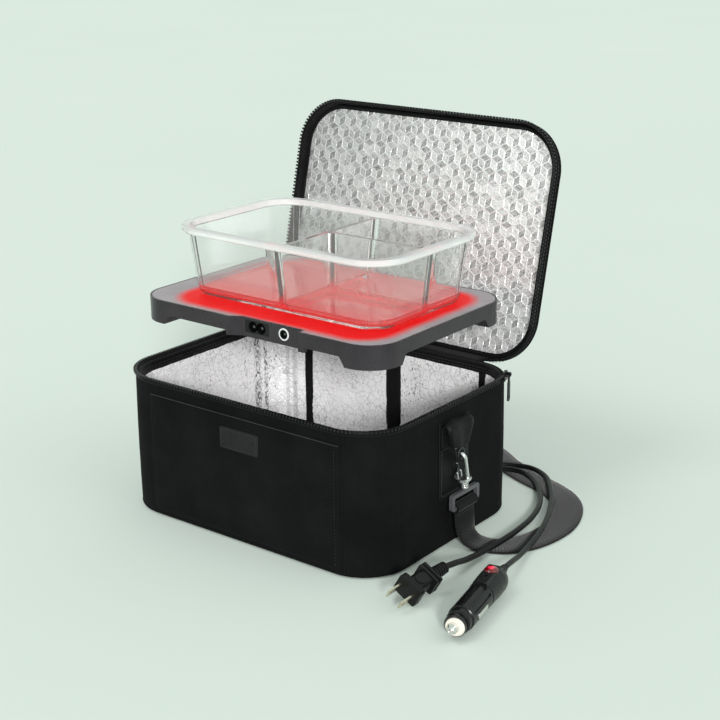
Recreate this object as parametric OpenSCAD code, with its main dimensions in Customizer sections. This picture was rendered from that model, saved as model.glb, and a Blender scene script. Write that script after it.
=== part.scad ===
// Electric lunch box: an insulated fabric bag with a zipped, hinged lid, a low heating plate with
// two power sockets, a divided glass container, a shoulder strap and two loose power leads.
// +X runs along the bag, -Y is the front with the patch, +Z is up.
// The origin is the middle of the bag's bottom face. All sizes are millimetres.

/* [Bag] */
// Length of the bag outside
bag_l = 280; // [260:1:340]
// Depth of the bag outside, front to back
bag_d = 210; // [200:1:260]
// Height of the outer fabric wall
bag_h = 121; // [105:1:160]
// Radius of the four upright corners
bag_r = 42; // [36:1:48]
// Radius of the fold along the bottom edge and the lid's top edge
edge_r = 4; // [2.5:0.5:6]
// Thickness of the outer fabric
shell_t = 1.2; // [0.8:0.1:2]
// Thickness of the foam in walls and floor
foam_t = 3.4; // [2:0.2:6]
// Thickness of the foil lining
lining_t = 0.6; // [0.3:0.1:1.2]
// Thickness of the stiff board under the floor
board_t = 2; // [1:0.5:4]
// Air left between the layers where they curve
ply_gap = 0.2; // [0.1:0.1:0.4]
// Depth of the black facing that binds the top of the wall inside
facing_h = 11; // [8:1:16]
// Thickness of facing, tape and panel fabric
tape_t = 0.8; // [0.5:0.1:1.2]

/* [Front panel and patch] */
// Width of the panel stitched on the front, measured from the left corner
panel_w = 204; // [150:1:220]
// Drop of the front panel's top edge below the top of the fabric wall
panel_drop = 9; // [6:1:40]
// Thickness of the front panel fabric
panel_t = 1; // [0.6:0.1:2]
// Width of the blank patch
patch_w = 42; // [25:1:60]
// Height of the blank patch
patch_h = 19; // [12:1:30]
// Thickness of the blank patch
patch_t = 1; // [0.6:0.1:2]
// Middle of the blank patch from the bag's middle
patch_x = 3; // [-40:1:40]
// Middle of the blank patch above the bottom
patch_z = 91; // [60:1:100]

/* [Zipper] */
// Spacing of the zipper teeth
tooth_pitch = 3.2; // [2.6:0.2:5]
// Width of one tooth along the chain
tooth_w = 1.7; // [1:0.1:2.2]
// How far the teeth stand out from their bead
tooth_out = 2; // [1:0.2:3]
// Height of a tooth row
tooth_h = 2; // [1.2:0.2:3]
// Tape left bare above the fabric wall, under the teeth
tape_show = 1.2; // [0.6:0.2:4]
// Gap between the two tooth rows when the lid is shut
zip_gap = 0.4; // [0.3:0.1:0.8]
// How far round the rear corner the body's teeth run
zip_end = 24; // [18:1:40]
// Where each slider is parked on the rear corner
slider_at = 17; // [14:1:30]
// Length of a slider
slider_l = 9; // [7:0.5:12]
// Length of a slider's pull
pull_l = 22; // [14:1:34]

/* [Lid] */
// Angle that the lid opens through, past upright
lid_open = 103.6; // [90:0.1:115]
// Depth of the lid's fabric side
lid_side = 12; // [9:0.5:18]
// Thickness of the lid's foam
lid_foam_t = 4.4; // [4:0.2:9]
// Width of the black facing round the lid's lining
lid_facing_w = 5; // [5:0.2:14]
// Radius of the rolled hinge seam
seam_r = 1.2; // [0.8:0.1:2]
// Length of the hinge seam
seam_l = 190; // [120:5:196]

/* [Heater] */
// Length of the heating plate
heater_l = 256; // [200:1:257]
// Depth of the heating plate
heater_d = 184; // [150:1:187]
// Height of the heating plate on its feet
heater_h = 20; // [17:0.5:30]
// Corner radius of the heating plate
heater_r = 28; // [24:1:40]
// Wall of the moulded housing
heater_wall = 2.4; // [1.6:0.2:4]
// How far the feet reach below the housing's side
foot_drop = 8; // [5:0.5:12]
// Length of a foot along each side
foot_len = 32; // [24:1:50]
// Run of the slanted end of a foot
foot_slant = 5; // [2:0.5:10]
// Offset of the heating plate from the bag's middle, right and back
heater_off = 3; // [0:0.5:3]
// Height that the heating plate is shown lifted out of its seat
lift = 161; // [130:1:200]
// Thickness of the aluminium plate
plate_t = 1.6; // [1:0.1:3]
// Width of the housing's rim left round the aluminium plate
rim_w = 1.6; // [1.2:0.1:4]
// Left end of the socket notch in the front, from the plate's middle
notch_left = -23; // [-50:1:-18]
// Right end of the socket notch
notch_right = 50; // [40:1:70]
// Depth of the socket notch
notch_depth = 6; // [3:0.5:8]
// Run of the notch's slanted left end
notch_slant = 10; // [4:0.5:16]
// How far the socket block hangs below the housing's side
block_drop = 4; // [2:0.5:5]
// Middle of the mains inlet from the plate's middle
ac_x = 2.5; // [0.5:0.5:6]
// Middle of the low-voltage jack from the plate's middle
dc_x = 31; // [28:0.5:34]
// Spacing of the two mains pins
ac_pitch = 8.6; // [8:0.1:9.6]
// Radius of each lobe of the mains inlet
ac_lobe_r = 4.6; // [4:0.1:4.7]
// Outer radius of the low-voltage jack's collar
jack_r = 5; // [4.2:0.1:5.1]
// Inner radius of the low-voltage jack
jack_bore_r = 3.2; // [2.9:0.05:3.6]

/* [Container] */
// Length of the glass container over its rim
glass_l = 228; // [180:1:244]
// Depth of the glass container over its rim
glass_d = 150; // [110:1:152]
// Height of the glass container
glass_h = 60; // [40:1:65]
// Corner radius of the glass rim
glass_r = 34; // [26:1:40]
// Width of the rim flange
flange_w = 5; // [3:0.5:8]
// Height of the rim flange
flange_h = 5; // [3:0.5:8]
// How far each wall leans in from rim to foot
glass_taper = 8; // [4:0.5:14]
// Thickness of the glass wall
glass_t = 3; // [2.4:0.2:4.5]
// Thickness of the glass floor
glass_floor = 4; // [3:0.5:6]
// Thickness of the glass dividers
divider_t = 4; // [3:0.5:6]
// Height of the dividers below the rim
divider_drop = 5; // [3:0.5:12]
// Place of the long divider from the container's middle
divider_x = 0; // [-50:1:30]
// Place of the short divider from the container's middle
divider_y = 3; // [-20:1:25]

/* [Strap] */
// Width of the strap webbing
strap_w = 28; // [20:1:32]
// Thickness of the strap webbing
strap_t = 1.6; // [1:0.2:2.4]
// Width of the sewn base of each strap tab
tab_w = 42; // [36:1:54]
// Height of the sewn base of each strap tab
tab_h = 66; // [50:1:76]
// Height of the eyelet above the bag's bottom
eyelet_z = 82.5; // [70:0.5:90]
// Distance of the tab's flap from the bag's side
flap_out = 7.6; // [7:0.1:9]
// Thickness of the flap
flap_t = 1.6; // [1.2:0.1:2.4]
// Hole radius of the eyelet
eyelet_hole = 3.4; // [3:0.1:4.5]
// Radius of the hook's wire
wire_r = 1.7; // [1.4:0.1:2]
// Half the width of the hook's loop, wire middle to middle
loop_half = 4.6; // [4.4:0.1:5]
// Width of the slot in the strap ring
ring_slot_w = 32; // [30:1:38]
// Height of the slot in the strap ring
ring_slot_h = 7.6; // [6:0.2:10]
// Thickness of the strap ring's bars
ring_bar = 3.4; // [2.6:0.2:5]

/* [Leads] */
// Diameter of the mains lead
ac_cord_d = 5; // [4.5:0.5:6]
// Diameter of the car lead
car_cord_d = 4.5; // [4:0.5:5.5]
// Radius of the car plug's barrel
car_r = 10.4; // [9.5:0.1:11]
// Length of the car plug's barrel from shoulder to nose
car_l = 46; // [44:1:80]
// Travel of the car plug's tip
tip_travel = 3; // [1:0.5:5]

/* [Hidden] */
// Smoothness of round parts
$fn = 64;

// Layers of the wall, as distances in from the outer face
foam_in = shell_t + ply_gap;
lining_in = foam_in + foam_t + ply_gap;
wall_t = lining_in + lining_t;
// Heights of the floor's layers
board_z = shell_t;
foam_z = board_z + board_t;
lining_z = foam_z + foam_t;
floor_z = lining_z + lining_t;
// The tape stands between the fabric wall and the facing
tape_in = shell_t + ply_gap;
facing_in = tape_in + tape_t + ply_gap;
facing_z = bag_h - facing_h;
tape_root = 9;
teeth_z = bag_h + tape_show;
panel_top = bag_h - panel_drop;
bead_t = tape_t;
// Lid levels, as they are when it is shut
lid_teeth_z = teeth_z + tooth_h + zip_gap;
lid_side_z = lid_teeth_z + tooth_h + 1;
lid_top_z = lid_side_z + lid_side;
lid_foam_z = lid_top_z - shell_t - lid_foam_t;
lid_zip_end = 9;
// The lid's hinge line is the middle of the rolled seam on top of the back wall
seam_y = bag_d/2 - shell_t/2 - 0.2;
seam_z = bag_h + 0.2 + seam_r;
seam_gap = 0.3;

// Heater levels at rest, lifted out, from the bottom of its feet up
seat_gap = 0.3;
heater_z = floor_z + seat_gap + lift;
tray_z = foot_drop + heater_wall;
plate_z = heater_h - plate_t;
block_z = foot_drop - block_drop;
socket_z = 13;
// The socket face is the back of the notch
front_y = -heater_d/2;
face_y = front_y + notch_depth;
flange_deep = 1.4;
inlet_deep = 12;
inlet_wall = 0.6;
screw_in = 17;
boss_r = 3.6;
screw_r = 1.5;
screw_head_r = 3;
fit_gap = 0.1;

// Container levels at rest
glass_z = heater_z + heater_h;
glass_off_x = 8;
glass_off_y = 4;

// Strap tab and hook
tab_y = -3;
flap_x = bag_l/2 + flap_out + flap_t/2;
hook_tilt = 12;
arm_l = 22;
barrel_l = 11;
barrel_r = 3.4;
ring_z = -arm_l - barrel_l - 1.4;
gate_top = -11;
gate_pivot = -20;
gate_r = 1.4;

// Cord ends and coils. Routes are lists of hand-chosen points.
tie_t = 0.8;
tie_w = 4;
tie_gap = 0.4;
turn_gap = 0.6;
coil_ratio = 11;
ring_steps = 24;
ac_coil_c = [-80, 146];
ac_turns = 2;
car_coil_c = [0, 150];
car_turns = 2.5;
ac_plug_at = [174.7, -60.8, 12];
ac_plug_roll = -30;
car_plug_at = [212.5, -33.5, car_r + 1.4];
car_plug_yaw = -77.7;
ac_route = [[174.7, -46, 9.6], [174.7, -30, 6.4], [175.5, -8, 4.9], [176.5, 18, 4.8], [176, 42, 4.8],
    [173, 68, 4.8], [165, 95, 4.8], [151, 120, 4.8], [132, 141, 4.8], [110, 152, 4.8], [89, 145, 4.7],
    [70, 130, 4.4], [46, 118, 4], [20, 113, 3.6], [-30, 113, 3.6]];
car_route = [[209.2, -18, 9.6], [205, 0, 6.6], [200.5, 19, 4.9], [196, 39, 4.6], [185, 74, 4.6],
    [169, 109, 4.6], [155, 132, 4.6], [136, 155, 4.6], [114, 165, 4.6], [93, 159, 4.6],
    [75, 146, 4.4], [56, 131, 3.8], [34, 121, 3.4]];
// The strap's middle line. The last number is 0 where it hangs and 1 where it lies flat.
strap_y = tab_y - ring_z*sin(hook_tilt);
strap_top = eyelet_z + ring_z*cos(hook_tilt) - 2.2*ring_bar - ring_slot_h - strap_t + 0.2;
strap_route = [[flap_x, strap_y, strap_top, 0], [flap_x, strap_y + 0.4, 0.76*strap_top, 0],
    [flap_x + 0.6, strap_y + 1.4, 0.45*strap_top, 0.1], [151.5, strap_y + 2.6, 0.19*strap_top, 0.5],
    [158, 8.5, 1.8, 0.9], [168, 11, 0.8, 1], [180, 18, 0.8, 1], [190, 32, 0.8, 1],
    [195.5, 52, 0.8, 1], [196, 75, 0.8, 1], [190, 98, 0.8, 1], [179, 119, 0.8, 1],
    [164, 134, 0.8, 1], [146, 143, 0.8, 1], [126, 150, 0.8, 1], [104, 159, 0.8, 1],
    [82, 170, 0.8, 1], [62, 183, 0.8, 1], [38, 196, 0.8, 1], [12, 204, 0.8, 1], [-18, 205, 0.8, 1],
    [-50, 205, 0.8, 1], [-88, 203, 0.8, 1], [-122, 190, 0.8, 1], [-150, 169, 0.8, 1], [-170, 140, 0.8, 1],
    [-181, 106, 0.8, 1], [-184, 72, 0.8, 1], [-181, 44, 0.8, 1], [-172, 24, 0.8, 1],
    [-161, 12, 1, 0.95], [-152.5, strap_y + 2.6, 0.17*strap_top, 0.5],
    [-flap_x - 0.6, strap_y + 1.4, 0.45*strap_top, 0.1],
    [-flap_x, strap_y + 0.4, 0.76*strap_top, 0], [-flap_x, strap_y, strap_top, 0]];
adjuster_at = [-18, 205];

// Outline of a box with round corners
module outline(l, d, r) {
    square([l - 2*r, d], center = true);
    square([l, d - 2*r], center = true);
    for (x = [-1, 1], y = [-1, 1]) translate([x*(l/2 - r), y*(d/2 - r)]) circle(r);
}

// The bag's outline moved in or out by p
module bag_outline(p) {
    outline(bag_l + 2*p, bag_d + 2*p, bag_r + p);
}

// A profile carried round the bag's outline. The profile's x is the distance out from it.
module carried() {
    for (c = [[1, 1, 0], [-1, 1, 90], [-1, -1, 180], [1, -1, 270]])
        translate([c[0]*(bag_l/2 - bag_r), c[1]*(bag_d/2 - bag_r), 0]) rotate([0, 0, c[2]])
            rotate_extrude(angle = 90) translate([bag_r, 0]) children();
    for (a = [0, 180]) rotate([0, 0, a]) translate([bag_l/2, bag_d/2 - bag_r, 0])
        rotate([90, 0, 0]) linear_extrude(bag_d - 2*bag_r) children();
    for (a = [90, 270]) rotate([0, 0, a]) translate([bag_d/2, bag_l/2 - bag_r, 0])
        rotate([90, 0, 0]) linear_extrude(bag_l - 2*bag_r) children();
}

// A flat band between two distances from the bag's outline
module band(p_in, p_out, z0, z1) {
    translate([0, 0, z0]) linear_extrude(z1 - z0) difference() {
        bag_outline(p_out);
        bag_outline(p_in);
    }
}

// Everything behind the line where the zipper ends on the rear corners
module behind_zip(angle) {
    y = bag_d/2 - bag_r + bag_r*sin(angle);
    translate([-bag_l, y, 0]) cube([2*bag_l, bag_d, 2*bag_h]);
}

// Profile of a fabric wall with a folded edge at its foot
module folded_wall(height) {
    translate([-shell_t, edge_r]) square([shell_t, height - edge_r]);
    intersection() {
        translate([-edge_r, edge_r]) difference() {
            circle(edge_r);
            circle(edge_r - shell_t);
        }
        translate([-edge_r, 0]) square(edge_r);
    }
}

// Point on the bag's outline at a distance s from the middle of the front, moved out by p
front_half = bag_l/2 - bag_r;
corner_run = bag_r*PI/2;
side_run = bag_d - 2*bag_r;
function on_outline(s, p) =
    s < 0 ? [-on_outline(-s, p)[0], on_outline(-s, p)[1]] :
    s < front_half ? [s, -bag_d/2 - p] :
    s < front_half + corner_run ? corner_front((s - front_half)*180/PI/bag_r, p) :
    s < front_half + corner_run + side_run ?
        [bag_l/2 + p, -bag_d/2 + bag_r + s - front_half - corner_run] :
        corner_rear((s - front_half - corner_run - side_run)*180/PI/bag_r, p);
function corner_front(a, p) =
    [front_half + (bag_r + p)*sin(a), -bag_d/2 + bag_r - (bag_r + p)*cos(a)];
function corner_rear(a, p) =
    [front_half + (bag_r + p)*cos(a), bag_d/2 - bag_r + (bag_r + p)*sin(a)];

// A row of zipper teeth on its bead, from one rear corner round the front to the other
module tooth_row(z, end_angle, shift) {
    reach = front_half + corner_run + side_run + bag_r*PI/180*end_angle;
    count = floor((reach - tooth_pitch)/tooth_pitch);
    in_p = -tape_in + 0.02;
    out_p = -tape_in + bead_t;
    teeth = [for (i = [-count:count], k = [0:3])
        on_outline(i*tooth_pitch + shift + (k < 2 ? -1 : 1)*tooth_w/2,
            (k == 0 || k == 3) ? out_p : out_p + tooth_out)];
    back = [for (i = [count:-1:-count], k = [1, -1])
        on_outline(i*tooth_pitch + shift + k*tooth_w/2, in_p)];
    translate([0, 0, z]) linear_extrude(tooth_h) polygon(concat(teeth, back));
}

// The lid's place when it is open
module opened() {
    translate([0, seam_y, seam_z]) rotate([-lid_open, 0, 0]) translate([0, -seam_y, -seam_z])
        children();
}

// Fabric bag
module outer_shell() color("#161618") {
    carried() folded_wall(bag_h);
    linear_extrude(shell_t) bag_outline(-edge_r);
}

module bottom_board() color("#5a4a3a")
    translate([0, 0, board_z]) linear_extrude(board_t) bag_outline(-edge_r - ply_gap);

module foam_core() color("#d8d8d4") {
    carried() union() {
        translate([-foam_in - foam_t, edge_r]) square([foam_t, facing_z - ply_gap - edge_r]);
        translate([-foam_in - foam_t + ply_gap, facing_z - 1])
            square([foam_in + foam_t - ply_gap - facing_in, facing_h + 1 - tape_t]);
    }
    translate([0, 0, foam_z]) linear_extrude(foam_t) bag_outline(-edge_r - ply_gap);
}

module foil_lining() color("#c9ccd0") {
    band(-wall_t, -lining_in, lining_z, facing_z - ply_gap);
    translate([0, 0, lining_z]) linear_extrude(lining_t) bag_outline(-lining_in);
}

module rim_facing() color("#1b1b1d") carried() union() {
    translate([-wall_t, facing_z]) square([tape_t, facing_h]);
    translate([-wall_t, bag_h - tape_t]) square([wall_t - facing_in, tape_t]);
}

module body_zipper_tape() color("#1d1d20") difference() {
    band(-tape_in - tape_t, -tape_in, bag_h - tape_root, teeth_z + tooth_h);
    behind_zip(zip_end);
}

module body_zipper_teeth() color("#2a2a2d") tooth_row(teeth_z, zip_end, 0);

module front_panel() color("#131315") intersection() {
    band(ply_gap, ply_gap + panel_t, edge_r, panel_top);
    translate([-front_half, -bag_d, 0]) cube([panel_w, bag_d/2 + bag_r, bag_h]);
}

module label_patch() color("#2b2b2f")
    translate([patch_x, -bag_d/2 - ply_gap - panel_t, patch_z]) rotate([90, 0, 0])
        linear_extrude(patch_t) outline(patch_w, patch_h, 1.5);

// Three upright webbing bands on the back wall inside
module inner_straps() color("#101012") intersection() {
    band(-wall_t - tape_t - fit_gap, -wall_t - fit_gap, floor_z, facing_z);
    for (s = [[-0.3625*bag_l, 7], [-0.5, 15], [0.35*bag_l, 8]])
        translate([s[0] - s[1]/2, 0, 0]) cube([s[1], bag_d, bag_h]);
}

// The rolled seam on the back wall that the lid swings about
module hinge_seam() color("#1b1b1d") {
    translate([-seam_l/2, seam_y, seam_z]) rotate([0, 90, 0]) cylinder(r = seam_r, h = seam_l);
    translate([-seam_l/2, seam_y - shell_t/2 + 0.2, bag_h])
        cube([seam_l, shell_t - 0.4, seam_z - bag_h]);
}

// Strap tabs, one on each side wall
module on_side(side) {
    if (side > 0) children();
    else mirror([1, 0, 0]) children();
}

module tab_base(side) color("#101012") on_side(side)
    translate([bag_l/2, tab_y + 3, 77]) rotate([90, 0, 90])
        linear_extrude(shell_t) outline(tab_w, tab_h, 2);

module tab_flap(side) color("#0e0e10") on_side(side) {
    roll_r = (flap_out + flap_t - shell_t)/2;
    roll_z = 106;
    translate([bag_l/2 + shell_t + roll_r, tab_y - 17, roll_z]) rotate([-90, 0, 0])
        cylinder(r = roll_r, h = 34);
    translate([flap_x - flap_t/2, tab_y, 0]) rotate([90, 0, 90]) linear_extrude(flap_t)
        difference() {
            union() {
                polygon([[-16, roll_z], [16, roll_z], [7, eyelet_z - 5], [-7, eyelet_z - 5]]);
                translate([0, eyelet_z - 1]) circle(7.4);
            }
            translate([0, eyelet_z]) circle(eyelet_hole + 0.8);
        }
}

// Both eyelets: a sleeve through the flap with a flange on each face
module tab_eyelets() color("#2d2d30") for (side = [-1, 1]) on_side(side)
    translate([flap_x, tab_y, eyelet_z]) rotate([0, 90, 0]) difference() {
        union() {
            cylinder(r = eyelet_hole + 0.7, h = flap_t + 1.4, center = true);
            for (s = [-1, 1]) translate([0, 0, s*(flap_t/2 + 0.4)])
                cylinder(r = eyelet_hole + 2, h = 0.7, center = true);
        }
        cylinder(r = eyelet_hole, h = 6, center = true);
    }

// The hook's own frame: its origin is the middle of the eyelet, it hangs along -Z
module hook_frame(side) on_side(side)
    translate([flap_x, tab_y, eyelet_z]) rotate([hook_tilt, 0, 0]) children();

// The ring's frame: the slot hangs level under the hook's slanted stem
module level_frame() translate([0, 0, ring_z]) rotate([-hook_tilt, 0, 0]) children();

module strap_ring(side) color("#2a2b2e") hook_frame(side) {
    outer_w = ring_slot_w + 2*ring_bar;
    outer_h = ring_slot_h + 2*ring_bar;
    level_frame() translate([0, 0, -outer_h/2]) rotate([90, 0, 90])
        linear_extrude(ring_bar, center = true) difference() {
            outline(outer_w, outer_h, 3);
            outline(ring_slot_w, ring_slot_h, 1);
        }
    translate([0, 0, ring_z - 1.5]) cylinder(r = 2.8, h = 1.5 + 0.8);
    translate([0, 0, ring_z]) cylinder(r = 1.25, h = 6);
}

module snap_hook(side) color("#b9bcc2") hook_frame(side) difference() {
    union() {
        translate([0, 0, -loop_half]) rotate([90, 0, 0]) rotate_extrude(angle = 180)
            translate([loop_half, 0]) circle(wire_r);
        translate([loop_half, 0, -arm_l - 1]) cylinder(r = wire_r, h = arm_l + 1 - loop_half);
        translate([-loop_half, 0, gate_top + 0.4])
            cylinder(r = wire_r, h = -gate_top - 0.4 - loop_half);
        translate([0, 0, -arm_l - 2.6]) cylinder(r = loop_half + wire_r + 0.7, h = 2.6);
        for (k = [0:3]) translate([0, 0, -arm_l - 2.6 - 2.1*k - 1.3])
            cylinder(r = barrel_r + 0.7, h = 1.2);
        translate([0, 0, -arm_l - barrel_l]) cylinder(r = barrel_r, h = barrel_l);
        for (y = [-1, 1]) translate([-loop_half, y*2.4, -arm_l]) {
            translate([-1.7, -0.7, -0.5]) cube([3.4, 1.4, 2.6]);
            translate([0, 0, gate_pivot + arm_l]) rotate([90, 0, 0])
                cylinder(r = 1.7, h = 1.4, center = true);
        }
        translate([-loop_half, 0, gate_pivot]) rotate([90, 0, 0])
            cylinder(r = 0.8, h = 6.2, center = true);
    }
    translate([0, 0, -arm_l - barrel_l - 1]) cylinder(r = 1.33, h = 8);
}

module hook_gate(side) color("#3a3b3f") hook_frame(side) difference() {
    union() {
        translate([-loop_half, 0, gate_pivot]) rotate([90, 0, 0])
            cylinder(r = 1.6, h = 3, center = true);
        translate([-loop_half, 0, gate_pivot]) cylinder(r = gate_r, h = gate_top - gate_pivot);
    }
    translate([-loop_half, 0, gate_pivot]) rotate([90, 0, 0])
        cylinder(r = 0.86, h = 5, center = true);
}

// Smooth curve through a list of points
function mid(a, b, c, d, t) = 0.5*(2*b + (c - a)*t + (2*a - 5*b + 4*c - d)*t*t
    + (3*b - a - 3*c + d)*t*t*t);
function smooth(pts, n) = [for (i = [0:len(pts) - 2], k = [0:n - 1])
        mid(pts[max(i - 1, 0)], pts[i], pts[i + 1], pts[min(i + 2, len(pts) - 1)], k/n),
    pts[len(pts) - 1]];
function unit(v) = v/norm(v);
function heading(pts, i) = unit(pts[min(i + 1, len(pts) - 1)] - pts[max(i - 1, 0)]);

// Faces between rings of n points each, with both ends closed. The rings turn left about the way.
function ring_faces(rings, n) = concat(
    [for (i = [0:rings - 2], k = [0:n - 1]) [i*n + k, (i + 1)*n + k, (i + 1)*n + (k + 1)%n]],
    [for (i = [0:rings - 2], k = [0:n - 1]) [i*n + k, (i + 1)*n + (k + 1)%n, i*n + (k + 1)%n]],
    [for (k = [1:n - 2]) [0, k, k + 1]],
    [for (k = [1:n - 2]) [(rings - 1)*n, (rings - 1)*n + k + 1, (rings - 1)*n + k]]);

// A round tube along points. Its two ends are square to the given directions.
module tube(pts, d, sides, first, last) {
    count = len(pts);
    rings = [for (i = [0:count - 1])
        let (t = i == 0 ? first : i == count - 1 ? last : heading(pts, i),
            across = unit(cross(t, [0, 0, 1])),
            up = cross(across, t))
        for (k = [0:sides - 1])
            let (a = 360*(k + 0.5)/sides)
            pts[i] + d/2/cos(180/sides)*(cos(a)*across - sin(a)*up)];
    polyhedron(points = rings, faces = ring_faces(count, sides));
}

// The webbing: four corners at each point, turning from hanging to lying flat
strap_line = smooth(strap_route, 3);
function place(v) = [v[0], v[1], v[2]];
module shoulder_strap() color("#1a1a1c") {
    count = len(strap_line);
    line = [for (v = strap_line) place(v)];
    corners = [for (i = [0:count - 1])
        let (t = heading(line, i),
            flat = strap_line[i][3],
            level = norm([t[0], t[1]]) < 0.02 ? [0, 1, 0] : unit([-t[1], t[0], 0]),
            wide = unit((1 - flat)*[0, 1, 0] + flat*level),
            thick = unit(cross(t, wide)))
        for (k = [[-1, -1], [1, -1], [1, 1], [-1, 1]])
            line[i] + k[0]*strap_w/2*wide + k[1]*strap_t/2*thick];
    polyhedron(points = corners, faces = ring_faces(count, 4));
    for (side = [-1, 1]) strap_end(side);
    translate([adjuster_at[0], adjuster_at[1], strap_t]) rotate([90, 0, 0])
        linear_extrude(strap_w, center = true) difference() {
            polygon([[-5.8, -0.4], [-4.3, 4.2], [4.3, 4.2], [5.8, -0.4]]);
            polygon([[-3, 0], [-2.8, 2.5], [2.8, 2.5], [3, 0]]);
        }
}

// The webbing's sewn end, folded round the ring's lower bar
module strap_end(side) hook_frame(side)
    level_frame() translate([0, 0, -1.5*ring_bar - ring_slot_h]) rotate([90, 0, 0])
        linear_extrude(strap_w, center = true) difference() {
            circle(ring_bar*0.71 + 0.3 + strap_t);
            circle(ring_bar*0.71 + 0.3);
        }

// A slide buckle on the part of the strap behind the bag
module strap_adjuster() color("#2a2b2e") translate([adjuster_at[0], adjuster_at[1], strap_t + 0.2])
    linear_extrude(2) difference() {
        outline(26, strap_w + 10, 3);
        for (x = [-1, 1]) translate([x*6, 0]) outline(7, strap_w + 2, 1);
    }

// Zipper sliders on the rear corners, with their pulls hanging outside
module slider_frame(side) on_side(side)
    translate([bag_l/2 - bag_r, bag_d/2 - bag_r, 0]) rotate([0, 0, slider_at])
        translate([bag_r, 0, 0]) children();
slider_lo = teeth_z - 0.3;
slider_hi = lid_teeth_z + tooth_h + 0.3;
slider_p = -tape_in + bead_t + tooth_out + 0.4;
bail_p = slider_p + 3.4;
bail_z = slider_hi - 1;

module zip_slider(side) color("#3a3b3f") slider_frame(side) {
    rotate([90, 0, 0]) linear_extrude(slider_l, center = true) {
        translate([0.4, slider_lo - 1.3]) square([slider_p + 0.6, 1.3]);
        translate([0.4, slider_hi]) square([slider_p + 0.6, 1.3]);
        translate([slider_p, slider_lo - 1.3]) square([1, slider_hi - slider_lo + 2.6]);
    }
    for (y = [-1, 1]) translate([slider_p + 0.5, y*(slider_l/2 - 0.8) - 0.8, bail_z - 0.9])
        cube([bail_p - slider_p + 0.4, 1.6, 1.8]);
    translate([bail_p, 0, bail_z]) rotate([90, 0, 0]) cylinder(r = 0.8, h = slider_l, center = true);
}

module zip_pull(side) color("#3a3b3f") slider_frame(side) translate([bail_p, 0, bail_z])
    rotate([90, 0, 0]) {
        linear_extrude(3, center = true) difference() {
            union() {
                circle(2);
                translate([-0.6, -6]) square([1.2, 6]);
            }
            circle(1.1);
        }
        translate([0, -pull_l/2 - 3.4, 0]) rotate([0, 90, 0])
            linear_extrude(1.2, center = true) difference() {
                outline(5.6, pull_l - 4, 2);
                translate([0, -pull_l/2 + 6]) circle(1.4);
            }
    }

// Lid, drawn shut and then opened
module lid_cover() color("#161618") opened() {
    translate([0, 0, lid_top_z]) mirror([0, 0, 1]) {
        carried() folded_wall(lid_side);
        linear_extrude(shell_t) bag_outline(-edge_r);
    }
    translate([-seam_l/2, bag_d/2 - shell_t, seam_z + seam_r + seam_gap])
        cube([seam_l, shell_t, lid_side_z - seam_z - seam_r]);
}

module lid_foam() color("#d8d8d4") opened()
    translate([0, 0, lid_foam_z]) linear_extrude(lid_foam_t) bag_outline(-edge_r - ply_gap);

lid_facing_in = facing_in + lid_facing_w;
module lid_lining() color("#c9ccd0") opened()
    translate([0, 0, lid_foam_z - lining_t]) linear_extrude(lining_t)
        bag_outline(-lid_facing_in - ply_gap);

module lid_facing() color("#1b1b1d") opened()
    band(-lid_facing_in, -facing_in, lid_foam_z - tape_t, lid_foam_z);

module lid_zipper_tape() color("#1d1d20") opened() difference() {
    band(-tape_in - tape_t, -tape_in, lid_teeth_z, lid_side_z + tape_root);
    behind_zip(lid_zip_end);
}

module lid_zipper_teeth() color("#2a2a2d") opened()
    tooth_row(lid_teeth_z, lid_zip_end, tooth_pitch/2);

// Heating plate, with its origin under the middle of its feet
module heater_frame() translate([heater_off, heater_off, heater_z]) children();

module foot_gap(length, across) {
    half = length/2 - foot_len;
    rotate([90, 0, 0]) linear_extrude(across + 2, center = true)
        polygon([[-half, -1], [half, -1], [half, 0], [half - foot_slant, foot_drop],
            [-half + foot_slant, foot_drop], [-half, 0]]);
}

module screw_places() for (x = [-1, 1], y = [-1, 1])
    translate([x*(heater_l/2 - screw_in), y*(heater_d/2 - screw_in), 0]) children();

// Plan of the socket notch, grown by g
module notch_plan(g) polygon([[notch_left - g, front_y - 1], [notch_left - g, front_y + g/2],
    [notch_left + notch_slant - g/2, face_y + g], [notch_right + g, face_y + g],
    [notch_right + g, front_y - 1]]);

module dc_place() translate([dc_x, face_y, socket_z]) rotate([-90, 0, 0]) children();
flange_l = 25;
inlet_l = ac_pitch + 2*ac_lobe_r + 3;
inlet_h = 2*ac_lobe_r + 2*inlet_wall;

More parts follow.
